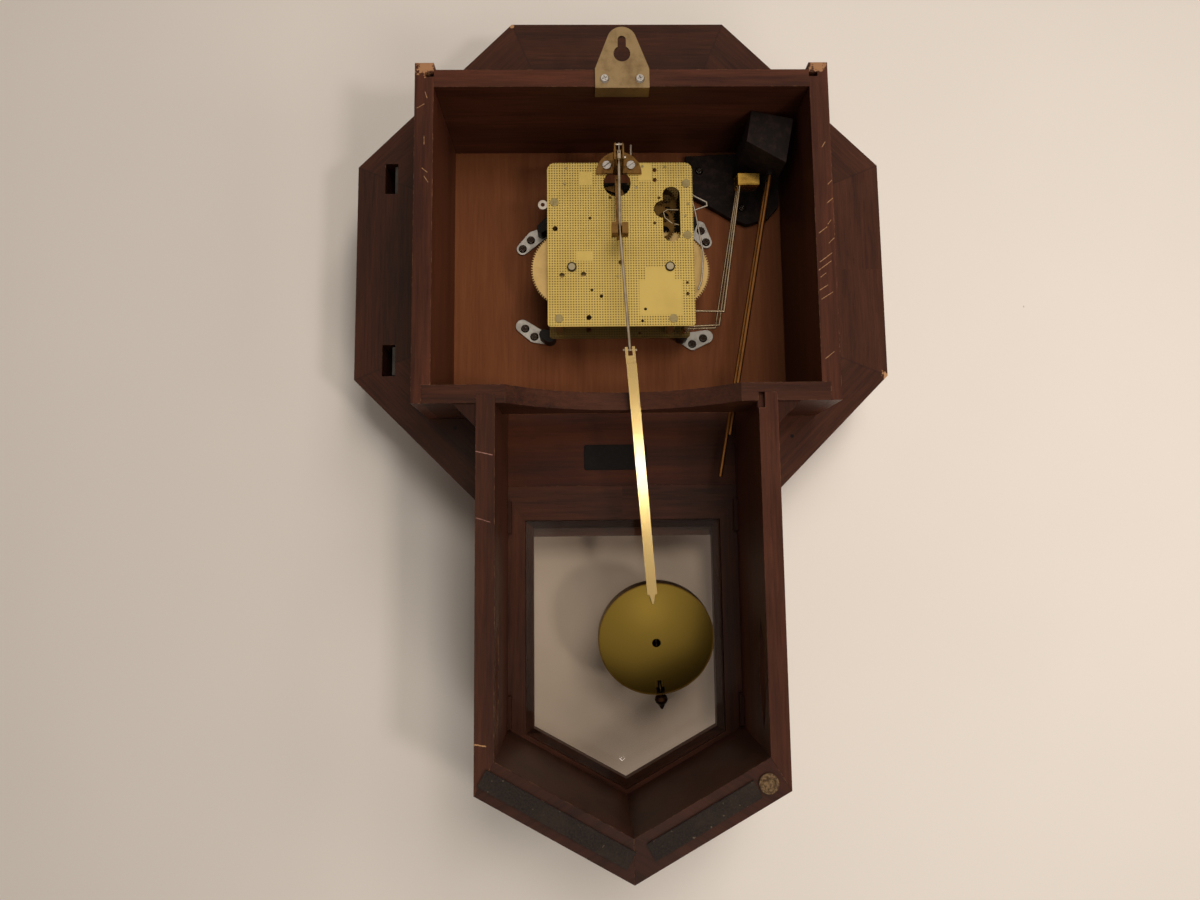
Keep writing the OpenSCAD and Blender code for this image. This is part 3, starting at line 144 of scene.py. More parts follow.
class Graph:
    """Adds and links shader nodes with short calls.

    A value without a type is a node's output, a number or a sequence of numbers. The calls
    return what they have made: a node, all of its outputs or the one that is used.
    """

    def __init__(self, tree: bpy.types.NodeTree) -> None:
        """Keeps the tree of a material, a world or a node group."""
        self.tree = tree

    def node(self, kind: str, *values, **settings) -> Node:
        """Adds a node, sets attributes on it and feeds values to its first inputs."""
        made = self.tree.nodes.new(f"ShaderNode{kind}")
        for name, value in settings.items():
            setattr(made, name, value)
        for socket, value in zip(made.inputs, values):
            self.feed(socket, value)
        return made

    def found(self, kind: str) -> Node:
        """Finds the tree's first node of a type."""
        return next(n for n in self.tree.nodes if n.type == kind)

    def feed(self, socket: Socket, value) -> None:
        """Links an output to an input, or sets the input to a value, unless it is None."""
        if isinstance(value, Socket):
            self.tree.links.new(value, socket)
        elif value is not None:
            socket.default_value = value

    def fill(self, node: Node, **values) -> Node:
        """Feeds inputs by name, with a name's spaces written as underscores."""
        for name, value in values.items():
            self.feed(node.inputs[name.replace("_", " ")], value)
        return node

    def show(self, shader: Socket, end: str = "OUTPUT_MATERIAL") -> None:
        """Makes a shader the surface of the material or the world."""
        self.fill(self.found(end), Surface=shader)

    def math(self, operation: str, a, b=None, clamp: bool = False) -> Socket:
        """Adds a Math node, whose result can be held between 0 and 1."""
        made = self.node("Math", a, b, operation=operation, use_clamp=clamp)
        return made.outputs[0]

    def times(self, first, *others) -> Socket:
        """Multiplies numbers, from the left."""
        for other in others:
            first = self.math("MULTIPLY", first, other)
        return first

    def plus(self, a, b, clamp: bool = False) -> Socket:
        """Adds two numbers."""
        return self.math("ADD", a, b, clamp)

    def minus(self, a, b) -> Socket:
        """Takes the second number from the first."""
        return self.math("SUBTRACT", a, b)

    def over(self, a, b) -> Socket:
        """Divides the first number by the second."""
        return self.math("DIVIDE", a, b)

    def more(self, a, b) -> Socket:
        """Gives 1 where the first number is the larger one, and 0 elsewhere."""
        return self.math("GREATER_THAN", a, b)

    def less(self, a, b) -> Socket:
        """Gives 1 where the first number is the smaller one, and 0 elsewhere."""
        return self.math("LESS_THAN", a, b)

    def gap(self, a, b) -> Socket:
        """Gives how far apart two numbers are."""
        return self.math("ABSOLUTE", self.minus(a, b))

    def reach(self, a, b) -> Socket:
        """Gives the length of the vector with two given parts."""
        return self.math("SQRT", self.plus(self.times(a, a), self.times(b, b)))

    def vector(self, operation: str, a, b=None, scale=None) -> Socket:
        """Adds a Vector Math node. The scale is the factor of the SCALE operation."""
        made = self.node("VectorMath", a, b, operation=operation)
        if scale is not None:
            self.fill(made, Scale=scale)
        number = operation in ("DOT_PRODUCT", "DISTANCE")
        return made.outputs["Value" if number else "Vector"]

    def split(self, vector) -> bpy.types.NodeOutputs:
        """Takes a vector apart into its three numbers."""
        return self.node("SeparateXYZ", vector).outputs

    def join(self, x, y, z) -> Socket:
        """Makes a vector of three numbers."""
        return self.node("CombineXYZ", x, y, z).outputs[0]

    def about_y(self, vector, angle) -> Socket:
        """Turns a vector about Y, so that a direction at the angle above X becomes X."""
        made = self.node("VectorRotate", rotation_type="Y_AXIS")
        return self.fill(made, Vector=vector, Angle=angle).outputs[0]

    def mix(self, factor, a, b) -> Socket:
        """Mixes two colours. The factor is the share of the second one."""
        made = self.node("Mix", data_type="RGBA")
        for index, value in ((0, factor), (6, a), (7, b)):
            self.feed(made.inputs[index], value)
        return made.outputs[2]

    def blend(self, factor, a, b) -> Socket:
        """Mixes two shaders. The factor is the share of the second one."""
        return self.node("MixShader", factor, a, b).outputs[0]

    def span(self, value, low, high, to_low: float = 0.0, to_high: float = 1.0) -> Socket:
        """Maps a range of values to another one, softly and held at its ends."""
        ends = (low, high, to_low, to_high)
        made = self.node("MapRange", value, *ends, interpolation_type="SMOOTHSTEP")
        return made.outputs[0]

    def noise(self, vector, scale, detail: float = 3.0, rough: float = 0.5) -> Socket:
        """Adds noise of a scale, with a number of finer layers and their strength."""
        made = self.node("TexNoise")
        self.fill(made, Vector=vector, Scale=scale, Detail=detail, Roughness=rough)
        return made.outputs[0]

    def bump(self, height, strength: float, distance: float, normal=None, **settings) -> Socket:
        """Bends a normal by a height. The settings are attributes of the Bump node."""
        made = self.node("Bump", **settings)
        self.fill(made, Strength=strength, Distance=distance, Height=height, Normal=normal)
        return made.outputs[0]

    def group(self, effect: Effect, **values) -> bpy.types.NodeOutputs:
        """Adds one of the shared effects and fills its inputs by name."""
        made = self.node("Group", node_tree=bpy.data.node_groups[effect.value])
        return self.fill(made, **values).outputs

    def smudge(self, where, scale: float, amount: float) -> Socket:
        """Adds the mask of soft clouds, whose scale is their number in one unit."""
        return self.group(Effect.SMUDGE, Vector=where, Scale=scale, Amount=amount)["Mask"]


def new_effect(
    effect: Effect, inputs: dict[str, object], **outputs: str
) -> tuple[Graph, bpy.types.NodeOutputs, Node]:
    """Starts a shared effect as a node group.

    Args:
        effect: Which effect.
        inputs: Default of each input: a number, a vector of three or a colour of four.
        **outputs: Kind of each output: Float, Vector or Color.

    Returns:
        A graph for the group, its inputs as they are seen inside it, and its output node.
    """
    tree = bpy.data.node_groups.new(effect.value, "ShaderNodeTree")
    for name, default in inputs.items():
        kind = "Float" if isinstance(default, float) else {3: "Vector", 4: "Color"}[len(default)]
        socket = tree.interface.new_socket(name, in_out="INPUT", socket_type=f"NodeSocket{kind}")
        socket.default_value = default
    for name, kind in outputs.items():
        tree.interface.new_socket(name, in_out="OUTPUT", socket_type=f"NodeSocket{kind}")
    inside = tree.nodes.new("NodeGroupInput").outputs
    return Graph(tree), inside, tree.nodes.new("NodeGroupOutput")


class Effects:
    """Builds the node groups that the finishes share."""

    def build(self) -> None:
        """Makes every shared effect once."""
        self.wood()
        self.turned_axes()
        self.octagon_axes()
        self.window_axes()
        self.scratch()
        self.spot()
        self.smudge()
        self.dimples()
        self.edge()
        self.brushed()

    def wood(self) -> None:
        """Grain that runs along the vector's X, with bands, streaks and pores."""
        inputs = {"Vector": ORIGIN, "Seed": 0.0, "Light": WHITE, "Dark": BLACK, "Figure": 0.5}
        g, inp, out = new_effect(Effect.WOOD, inputs, Color="Color", Height="Float")
        seed = inp["Seed"]
        placed = g.vector("ADD", inp["Vector"], g.join(seed, g.times(seed, 1.7), seed))
        bend = g.noise(g.vector("MULTIPLY", placed, (5.0, 22.0, 22.0)), 1.0, 2.0)
        warped = g.vector("ADD", placed, g.join(0.0, g.times(bend, 0.012), 0.0))
        bands = g.noise(g.vector("MULTIPLY", warped, (4.0, 60.0, 60.0)), 1.0, 3.0, 0.6)
        streaks = g.noise(g.vector("MULTIPLY", warped, (26.0, 520.0, 520.0)), 1.0, 5.0, 0.7)
        pores = g.noise(g.vector("MULTIPLY", placed, (110.0, 2600.0, 2600.0)), 1.0, 2.0, 0.5)
        dark_pores = g.span(pores, 0.60, 0.72)
        tone = g.plus(
            g.times(g.span(bands, 0.36, 0.66), inp["Figure"]),
            g.times(g.span(streaks, 0.26, 0.76), g.minus(1.0, inp["Figure"])),
        )
        colour = g.mix(tone, inp["Dark"], inp["Light"])
        colour = g.mix(g.times(dark_pores, 0.55), colour, inp["Dark"])
        height = g.minus(g.times(streaks, 0.5), g.times(dark_pores, 0.6))
        g.fill(out, Color=colour, Height=height)

    def turned_axes(self) -> None:
        """Turns a vector about Y by an angle, so that X follows a board."""
        inputs = {"Vector": ORIGIN, "Angle": 0.0}
        g, inp, out = new_effect(Effect.TURN, inputs, Vector="Vector")
        g.fill(out, Vector=g.about_y(inp["Vector"], inp["Angle"]))

    def octagon_axes(self) -> None:
        """Turns a vector so that X runs along the nearest of eight mitred members."""
        inputs = {"Vector": ORIGIN}
        g, inp, out = new_effect(Effect.OCTAGON, inputs, Vector="Vector", Joint="Float")
        x, y, z = g.split(inp["Vector"])
        east = g.minus(x, CASE_CENTRE[0])
        north = g.minus(z, CASE_CENTRE[1])
        heading = g.math("ARCTAN2", north, east)
        step = math.pi / 4.0
        sector = g.math("ROUND", g.over(heading, step))
        turn = g.minus(g.times(sector, step), QUARTER)
        turned = g.about_y(g.join(east, y, north), turn)
        aside = g.gap(heading, g.times(sector, step))
        off = g.times(g.minus(step / 2.0, aside), g.reach(east, north))
        shift = g.join(g.times(sector, 0.37), 0.0, g.times(sector, 0.11))
        joint = g.span(off, 0.0003, 0.0009, 1.0, 0.0)
        g.fill(out, Vector=g.vector("ADD", turned, shift), Joint=joint)

    def window_axes(self) -> None:
        """Turns a vector so that X runs along the members of the five-sided window frame."""
        g, inp, out = new_effect(Effect.WINDOW, {"Vector": ORIGIN}, Vector="Vector")
        x, _, z = g.split(inp["Vector"])
        aside = g.math("ABSOLUTE", x)
        stile = g.minus(aside, STILE_X)
        head = g.minus(z, HEAD_Z)
        low = g.minus(g.plus(g.times(aside, DROP_SLOPE), POINT_Z), z)
        is_head = g.more(head, g.times(stile, 1.6))
        is_low = g.more(g.times(low, 0.88), stile)
        is_head = g.times(is_head, g.more(z, LOW_Z))
        side = g.math("SIGN", x)
        slope = g.times(side, math.atan(DROP_SLOPE))
        turn = g.times(g.minus(1.0, is_head), QUARTER)
        turn = g.plus(g.times(is_low, slope), g.times(g.minus(1.0, is_low), turn))
        turned = g.about_y(inp["Vector"], turn)
        shift = g.join(g.times(side, 0.21), 0.0, g.times(side, g.plus(is_low, 0.2)))
        g.fill(out, Vector=g.vector("ADD", turned, shift))

    def scratch(self) -> None:
        """A thin mark between two points, with a ragged edge."""
        inputs = {"Vector": ORIGIN, "Start": ORIGIN, "End": ORIGIN, "Width": 0.001}
        g, inp, out = new_effect(Effect.SCRATCH, inputs, Mask="Float")
        where, start, end, width = (inp[name] for name in inputs)
        along = g.vector("SUBTRACT", end, start)
        away = g.vector("SUBTRACT", where, start)
        along_away = g.vector("DOT_PRODUCT", away, along)
        share = g.math("DIVIDE", along_away, g.vector("DOT_PRODUCT", along, along), clamp=True)
        nearest = g.vector("ADD", start, g.vector("SCALE", along, scale=share))
        gap = g.vector("DISTANCE", where, nearest)
        ragged = g.times(g.noise(where, 700.0, 3.0, 0.7), g.times(width, 1.6))
        gap = g.plus(gap, ragged)
        g.fill(out, Mask=g.span(gap, g.times(width, 0.9), g.times(width, 1.5), 1.0, 0.0))

    def spot(self) -> None:
        """A round mark with a soft or ragged edge."""
        inputs = {"Vector": ORIGIN, "Centre": ORIGIN, "Radius": 0.002, "Ragged": 0.3}
        g, inp, out = new_effect(Effect.SPOT, inputs, Mask="Float")
        where, centre, radius, ragged = (inp[name] for name in inputs)
        gap = g.vector("DISTANCE", where, centre)
        rough = g.minus(g.noise(where, 320.0, 4.0, 0.65), 0.5)
        rough = g.times(g.times(rough, ragged), g.times(radius, 4.0))
        gap = g.over(g.plus(gap, rough), radius)
        g.fill(out, Mask=g.span(gap, 0.86, 1.06, 1.0, 0.0))

    def smudge(self) -> None:
        """Soft clouds of dust or handling marks."""
        inputs = {"Vector": ORIGIN, "Scale": 30.0, "Amount": 0.5}
        g, inp, out = new_effect(Effect.SMUDGE, inputs, Mask="Float")
        cloud = g.noise(inp["Vector"], inp["Scale"], 5.0, 0.62)
        g.fill(out, Mask=g.times(g.span(cloud, 0.42, 0.72), inp["Amount"]))

    def dimples(self) -> None:
        """A square grid of small round dimples in X and Z."""
        g, inp, out = new_effect(Effect.DIMPLES, {"Vector": ORIGIN}, Mask="Float")
        x, _, z = g.split(inp["Vector"])

        def cell(value) -> Socket:
            return g.minus(g.math("FRACT", g.over(value, DIMPLE_PITCH)), 0.5)

        near = g.over(g.reach(cell(x), cell(z)), DIMPLE_SIZE)
        g.fill(out, Mask=g.span(near, 0.6, 1.25, 1.0, 0.0))

    def edge(self) -> None:
        """Finds edges and the normal that rounds them."""
        inputs = {"Radius": 0.0006}
        g, inp, out = new_effect(Effect.EDGE, inputs, Mask="Float", Normal="Vector")
        bevel = g.fill(g.node("Bevel", samples=4), Radius=inp["Radius"]).outputs[0]
        flat = g.node("NewGeometry").outputs["True Normal"]
        agree = g.vector("DOT_PRODUCT", bevel, flat)
        g.fill(out, Mask=g.span(agree, 0.80, 0.985, 1.0, 0.0), Normal=bevel)

    def brushed(self) -> None:
        """Fine lines along X for drawn or brushed metal."""
        g, inp, out = new_effect(Effect.BRUSH, {"Vector": ORIGIN}, Mask="Float")
        drawn = g.vector("MULTIPLY", inp["Vector"], (60.0, 2500.0, 2500.0))
        g.fill(out, Mask=g.noise(drawn, 1.0, 3.0, 0.6))


@dataclass(frozen=True)
class Mark:
    """A scratch, chip, nail hole or stain on one material, or a spot of painted shade.

    A mark with an end is a line; one without is a spot.
    """

    start: Point
    colour: Colour
    width: float
    end: Optional[Point] = None
    ragged: float = 0.3
    strength: float = 1.0


def scratches(lines: Iterable[tuple[float, float, float, float]]) -> list[Mark]:
    """Fine scratches across the rear edge of a board.

    Args:
        lines: X and Z of each scratch's two ends.

    Returns:
        One mark for each scratch.
    """
    return [
        Mark((x0, Y_EDGE, z0), SCRATCH_WOOD, 0.0004, end=(x1, Y_EDGE, z1), strength=0.8)
        for x0, z0, x1, z1 in lines
    ]


def add_marks(g: Graph, where: Socket, colour: Socket, marks: Iterable[Mark]) -> Socket:
    """Lays marks over a colour.

    Args:
        g: The graph to add to.
        where: The surface position.
        colour: The colour under the marks.
        marks: The marks, the last one on top.

    Returns:
        The marked colour.
    """
    for mark in marks:
        if mark.end is None:
            size = {"Radius": mark.width, "Ragged": mark.ragged}
            made = g.group(Effect.SPOT, Vector=where, Centre=mark.start, **size)
        else:
            ends = {"Start": mark.start, "End": mark.end}
            made = g.group(Effect.SCRATCH, Vector=where, Width=mark.width, **ends)
        colour = g.mix(g.times(made["Mask"], mark.strength), colour, mark.colour)
    return colour


def new_material(name: str) -> tuple[bpy.types.Material, Graph, Node]:
    """Starts a material and gives it, a graph for it and its Principled node."""
    made = bpy.data.materials.new(name)
    made.use_nodes = True
    graph = Graph(made.node_tree)
    return made, graph, graph.found("BSDF_PRINCIPLED")


@dataclass
class Finish:
    """What one kind of surface looks like. Each kind adds its own nodes."""

    name: str

    def build(self) -> bpy.types.Material:
        """Makes the material."""
        made, g, shader = new_material(self.name)
        self.paint(g, shader, g.node("TexCoord").outputs["Object"])
        return made

    def paint(self, g: Graph, shader: Node, where: Socket) -> None:
        """Adds the nodes of this kind of surface.

        Args:
            g: The material's graph.
            shader: Its Principled node.
            where: The surface position in the clock's own frame.
        """
        raise NotImplementedError


@dataclass
class WoodFinish(Finish):
    """Stained and lacquered wood, or the bare rear of a board."""

    light: Colour
    dark: Colour
    grain: Grain
    seed: float
    wear: float
    figure: float = 0.45
    rough: float = 0.42
    coat: float = 0.02
    bump: float = 0.12
    marks: Sequence[Mark] = ()

    def paint(self, g: Graph, shader: Node, where: Socket) -> None:
        """Adds the grain, the joints, the dust, the worn edges and the marks."""
        joint = None
        if self.grain is Grain.OCTAGON:
            vector, joint = g.group(Effect.OCTAGON, Vector=where)
        elif self.grain is Grain.WINDOW:
            vector = g.group(Effect.WINDOW, Vector=where)[0]
        else:
            slope = math.atan(DROP_SLOPE)
            angles = {
                Grain.ACROSS: 0.0,
                Grain.UPRIGHT: QUARTER,
                Grain.SLOPE_RIGHT: -slope,
                Grain.SLOPE_LEFT: slope,
            }
            vector = g.group(Effect.TURN, Vector=where, Angle=angles[self.grain])[0]
        stain = {"Light": self.light, "Dark": self.dark, "Figure": self.figure}
        wood = g.group(Effect.WOOD, Vector=vector, Seed=self.seed, **stain)
        colour = wood["Color"]
        if joint is not None:
            colour = g.mix(g.times(joint, 0.3), colour, srgb(14, 7, 6))
        dust = g.smudge(where, 22.0, 0.12)
        colour = g.mix(g.times(dust, 0.5), colour, srgb(104, 74, 56))
        edge = g.group(Effect.EDGE, Radius=0.0007)
        broken = g.span(g.noise(where, 260.0, 4.0, 0.7), 0.50, 0.62)
        colour = g.mix(g.times(g.times(edge["Mask"], broken), self.wear), colour, PALE_WOOD)
        g.fill(
            shader,
            Base_Color=add_marks(g, where, colour, self.marks),
            Roughness=g.plus(self.rough, g.times(dust, 0.25)),
            Specular_IOR_Level=0.16,
            Coat_Weight=self.coat,
            Coat_Roughness=0.22,
            Normal=g.bump(wood["Height"], self.bump, DEEP_RELIEF, edge["Normal"]),
        )


@dataclass
class MetalFinish(Finish):
    """Metal with tarnish clouds, fine lines and rounded edges."""

    colour: Colour
    stain: Colour
    rough: float
    tarnish: float
    cloud: float
    brushed: float = 0.1
    metallic: float = 1.0
    relief: float = 0.06
    coat: float = 0.0
    coat_low: float = -1.0
    dome: Optional[tuple[Point, float]] = None
    marks: Sequence[Mark] = ()

    def paint(self, g: Graph, shader: Node, where: Socket) -> None:
        """Adds tarnish, fine lines, marks, the coat above its limit, and the dome."""
        lines = g.group(Effect.BRUSH, Vector=where)["Mask"]
        stain = g.smudge(where, self.cloud, self.tarnish)
        colour = g.mix(stain, self.colour, self.stain)
        spread = g.plus(g.times(lines, self.brushed), g.times(stain, 0.3))
        g.fill(
            shader,
            Base_Color=add_marks(g, where, colour, self.marks),
            Metallic=self.metallic,
            Roughness=g.plus(spread, self.rough),
        )
        if self.coat > 0.0:
            above = g.more(g.split(where)[2], self.coat_low)
            g.fill(shader, Coat_Weight=g.times(above, self.coat), Coat_Roughness=0.12)
        if self.dome is not None:
            centre, curve = self.dome
            away = g.vector("DISTANCE", where, centre)
            g.fill(shader, Normal=g.bump(g.times(away, away, -curve), 1.0, 1.0))
        if self.relief > 0.0:
            edge = g.group(Effect.EDGE, Radius=0.00025)
            g.fill(shader, Normal=g.bump(lines, self.relief, BRUSH_RELIEF, edge["Normal"]))


@dataclass
class PlateFinish(Finish):
    """Yellow brass pressed all over with a grid of dimples, but for smooth patches."""

    colour: Colour
    stain: Colour
    dimple: Colour
    smooth: Sequence[tuple[float, float, float, float]]
    marks: Sequence[Mark]

    def paint(self, g: Graph, shader: Node, where: Socket) -> None:
        """Adds the dimples, the smooth patches, the clouds and the marks."""
        east, _, north = g.split(where)
        mask = g.group(Effect.DIMPLES, Vector=where)["Mask"]
        for x, z, half_x, half_z in self.smooth:
            wide = g.over(g.gap(east, x), half_x)
            tall = g.over(g.gap(north, z), half_z)
            mask = g.times(mask, g.span(g.math("MAXIMUM", wide, tall), 0.9, 1.0))
        stain = g.smudge(where, 45.0, 0.35)
        colour = g.mix(stain, self.colour, self.stain)
        colour = add_marks(g, where, colour, self.marks)
        edge = g.group(Effect.EDGE, Radius=0.0002)["Normal"]
        g.fill(
            shader,
            Base_Color=g.mix(g.times(mask, 0.85), colour, self.dimple),
            Metallic=0.75,
            Roughness=g.plus(0.42, g.times(stain, 0.2)),
            Normal=g.bump(mask, 0.45, DIMPLE_DEPTH, edge, invert=True),
        )


@dataclass
class PaintFinish(Finish):
    """Paint or cast iron: a dull colour with specks."""

    colour: Colour
    speck: Colour
    rough: float = 0.5
    grain: float = 400.0
    amount: float = 0.3
    bump: float = 0.1
    wear: float = 0.0
    gloss: float = 0.5

    def paint(self, g: Graph, shader: Node, where: Socket) -> None:
        """Adds the specks and the worn edges."""
        fine = g.noise(where, self.grain, 4.0, 0.65)
        edge = g.group(Effect.EDGE, Radius=0.0004)
        colour = g.mix(g.times(g.span(fine, 0.45, 0.68), self.amount), self.colour, self.speck)
        g.fill(
            shader,
            Base_Color=g.mix(g.times(edge["Mask"], self.wear), colour, self.speck),
            Roughness=self.rough,
            Specular_IOR_Level=self.gloss,
            Normal=g.bump(fine, self.bump, DEEP_RELIEF, edge["Normal"]),
        )


@dataclass
class PadFinish(Finish):
    """Grey felt strips and one cork disc, told apart by where they lie."""

    cork_at: Point

    def paint(self, g: Graph, shader: Node, where: Socket) -> None:
        """Adds felt with lint, and cork round one point."""
        fibre = g.noise(where, 900.0, 5.0, 0.7)
        blotch = g.noise(where, 60.0, 3.0, 0.6)
        felt = g.mix(g.span(fibre, 0.35, 0.68), srgb(21, 16, 13), srgb(44, 35, 30))
        felt = g.mix(g.times(g.span(blotch, 0.45, 0.7), 0.5), felt, srgb(56, 45, 38))
        lint = g.times(g.span(g.noise(where, 330.0, 2.0, 0.5), 0.66, 0.74), 0.7)
        felt = g.mix(lint, felt, srgb(112, 96, 78))
        crumb = g.span(g.noise(where, 500.0, 3.0, 0.7), 0.4, 0.6)
        cork = g.mix(crumb, srgb(60, 43, 27), srgb(114, 91, 64))
        is_cork = g.less(g.vector("DISTANCE", where, self.cork_at), CORK_RADIUS)
        g.fill(
            shader,
            Base_Color=g.mix(is_cork, felt, cork),
            Roughness=0.95,
            Normal=g.bump(fibre, 0.5, DEEP_RELIEF),
        )


@dataclass
class GlassFinish(Finish):
    """Thin clear glass that lets light and shadow through."""

    tint: Colour

    def paint(self, g: Graph, shader: Node, where: Socket) -> None:
        """Takes a clear, a dusty and a glossy shader in place of the Principled one."""
        g.tree.nodes.remove(shader)
        clear = g.fill(g.node("BsdfTransparent"), Color=self.tint)
        film = g.fill(g.node("BsdfDiffuse"), Color=srgb(196, 186, 172))
        gloss = g.fill(g.node("BsdfGlossy"), Roughness=0.03)
        facing = g.fill(g.node("Fresnel"), IOR=1.45)
        haze = g.smudge(where, 14.0, 0.03)
        dusty = g.blend(haze, clear.outputs[0], film.outputs[0])
        g.show(g.blend(g.times(facing.outputs[0], 0.4), dusty, gloss.outputs[0]))


@dataclass
class DialFinish(Finish):
    """A cream dial with a printed minute track."""

    ground: Colour
    ink: Colour

    def paint(self, g: Graph, shader: Node, where: Socket) -> None:
        """Adds two rings, 60 minute ticks, 12 hour ticks and faint stains."""
        x, _, z = g.split(where)
        east = g.minus(x, DIAL_CENTRE[0])
        north = g.minus(z, DIAL_CENTRE[1])
        reach = g.reach(east, north)
        heading = g.math("ARCTAN2", east, north)

        def ring(at: float) -> Socket:
            return g.less(g.gap(reach, at), TRACK_HALF)

        def ticks(count: int, low: float, high: float, half: float) -> Socket:
            step = 2.0 * math.pi / count
            near = g.times(g.math("ROUND", g.over(heading, step)), step)
            off = g.math("ABSOLUTE", g.times(g.minus(heading, near), reach))
            inside = g.times(g.more(reach, low), g.less(reach, high))
            return g.times(g.less(off, half), inside)

        ink = g.plus(ring(TRACK_OUT), ring(TRACK_IN))
        ink = g.plus(ink, ticks(60, TRACK_IN, TRACK_OUT, TRACK_HALF))
        ink = g.plus(ink, ticks(12, HOUR_IN, HOUR_OUT, HOUR_HALF), clamp=True)
        stain = g.smudge(where, 12.0, 0.25)
        ground = g.mix(stain, self.ground, srgb(206, 188, 146))
        g.fill(shader, Base_Color=g.mix(ink, ground, self.ink), Roughness=0.55)


@dataclass
class ScrewFinish(Finish):
    """Screws: bright near the wall plane; deep in the case a darker colour as painted shade, with
    edges brightened as painted highlights.
    """

    bright: Colour
    browned: Colour
    deep_y: float

    def paint(self, g: Graph, shader: Node, where: Socket) -> None:
        """Adds both colours, told apart by their depth in the case: the darker one is painted shade
        and its bright edges are painted highlights.
        """
        deep = g.less(g.split(where)[1], self.deep_y)
        cloud = g.smudge(where, 400.0, 0.4)
        edge = g.group(Effect.EDGE, Radius=0.0003)
        bright = g.mix(cloud, self.bright, srgb(110, 100, 92))
        # Painted shade deep in the case, with the edges lit as painted highlights.
        browned = g.mix(edge["Mask"], self.browned, self.bright)
        g.fill(
            shader,
            Base_Color=g.mix(deep, bright, browned),
            Metallic=1.0,
            Roughness=g.plus(0.28, g.times(cloud, 0.3)),
            Normal=edge["Normal"],
        )


@dataclass
class HammerFinish(Finish):
    """A steel wire with a brass head, told apart by the height on the hammer.

    The wire and the head each have a colour and a stain.
    """

    wire: tuple[Colour, Colour]
    head: tuple[Colour, Colour]
    head_low: float

    def paint(self, g: Graph, shader: Node, where: Socket) -> None:
        """Adds the two metals."""
        is_head = g.more(g.split(where)[2], self.head_low)
        cloud = g.smudge(where, 160.0, 0.5)
        wire, head = (g.mix(cloud, *metal) for metal in (self.wire, self.head))
        g.fill(
            shader,
            Base_Color=g.mix(is_head, wire, head),
            Metallic=1.0,
            Roughness=g.plus(0.2, g.times(cloud, 0.3)),
        )


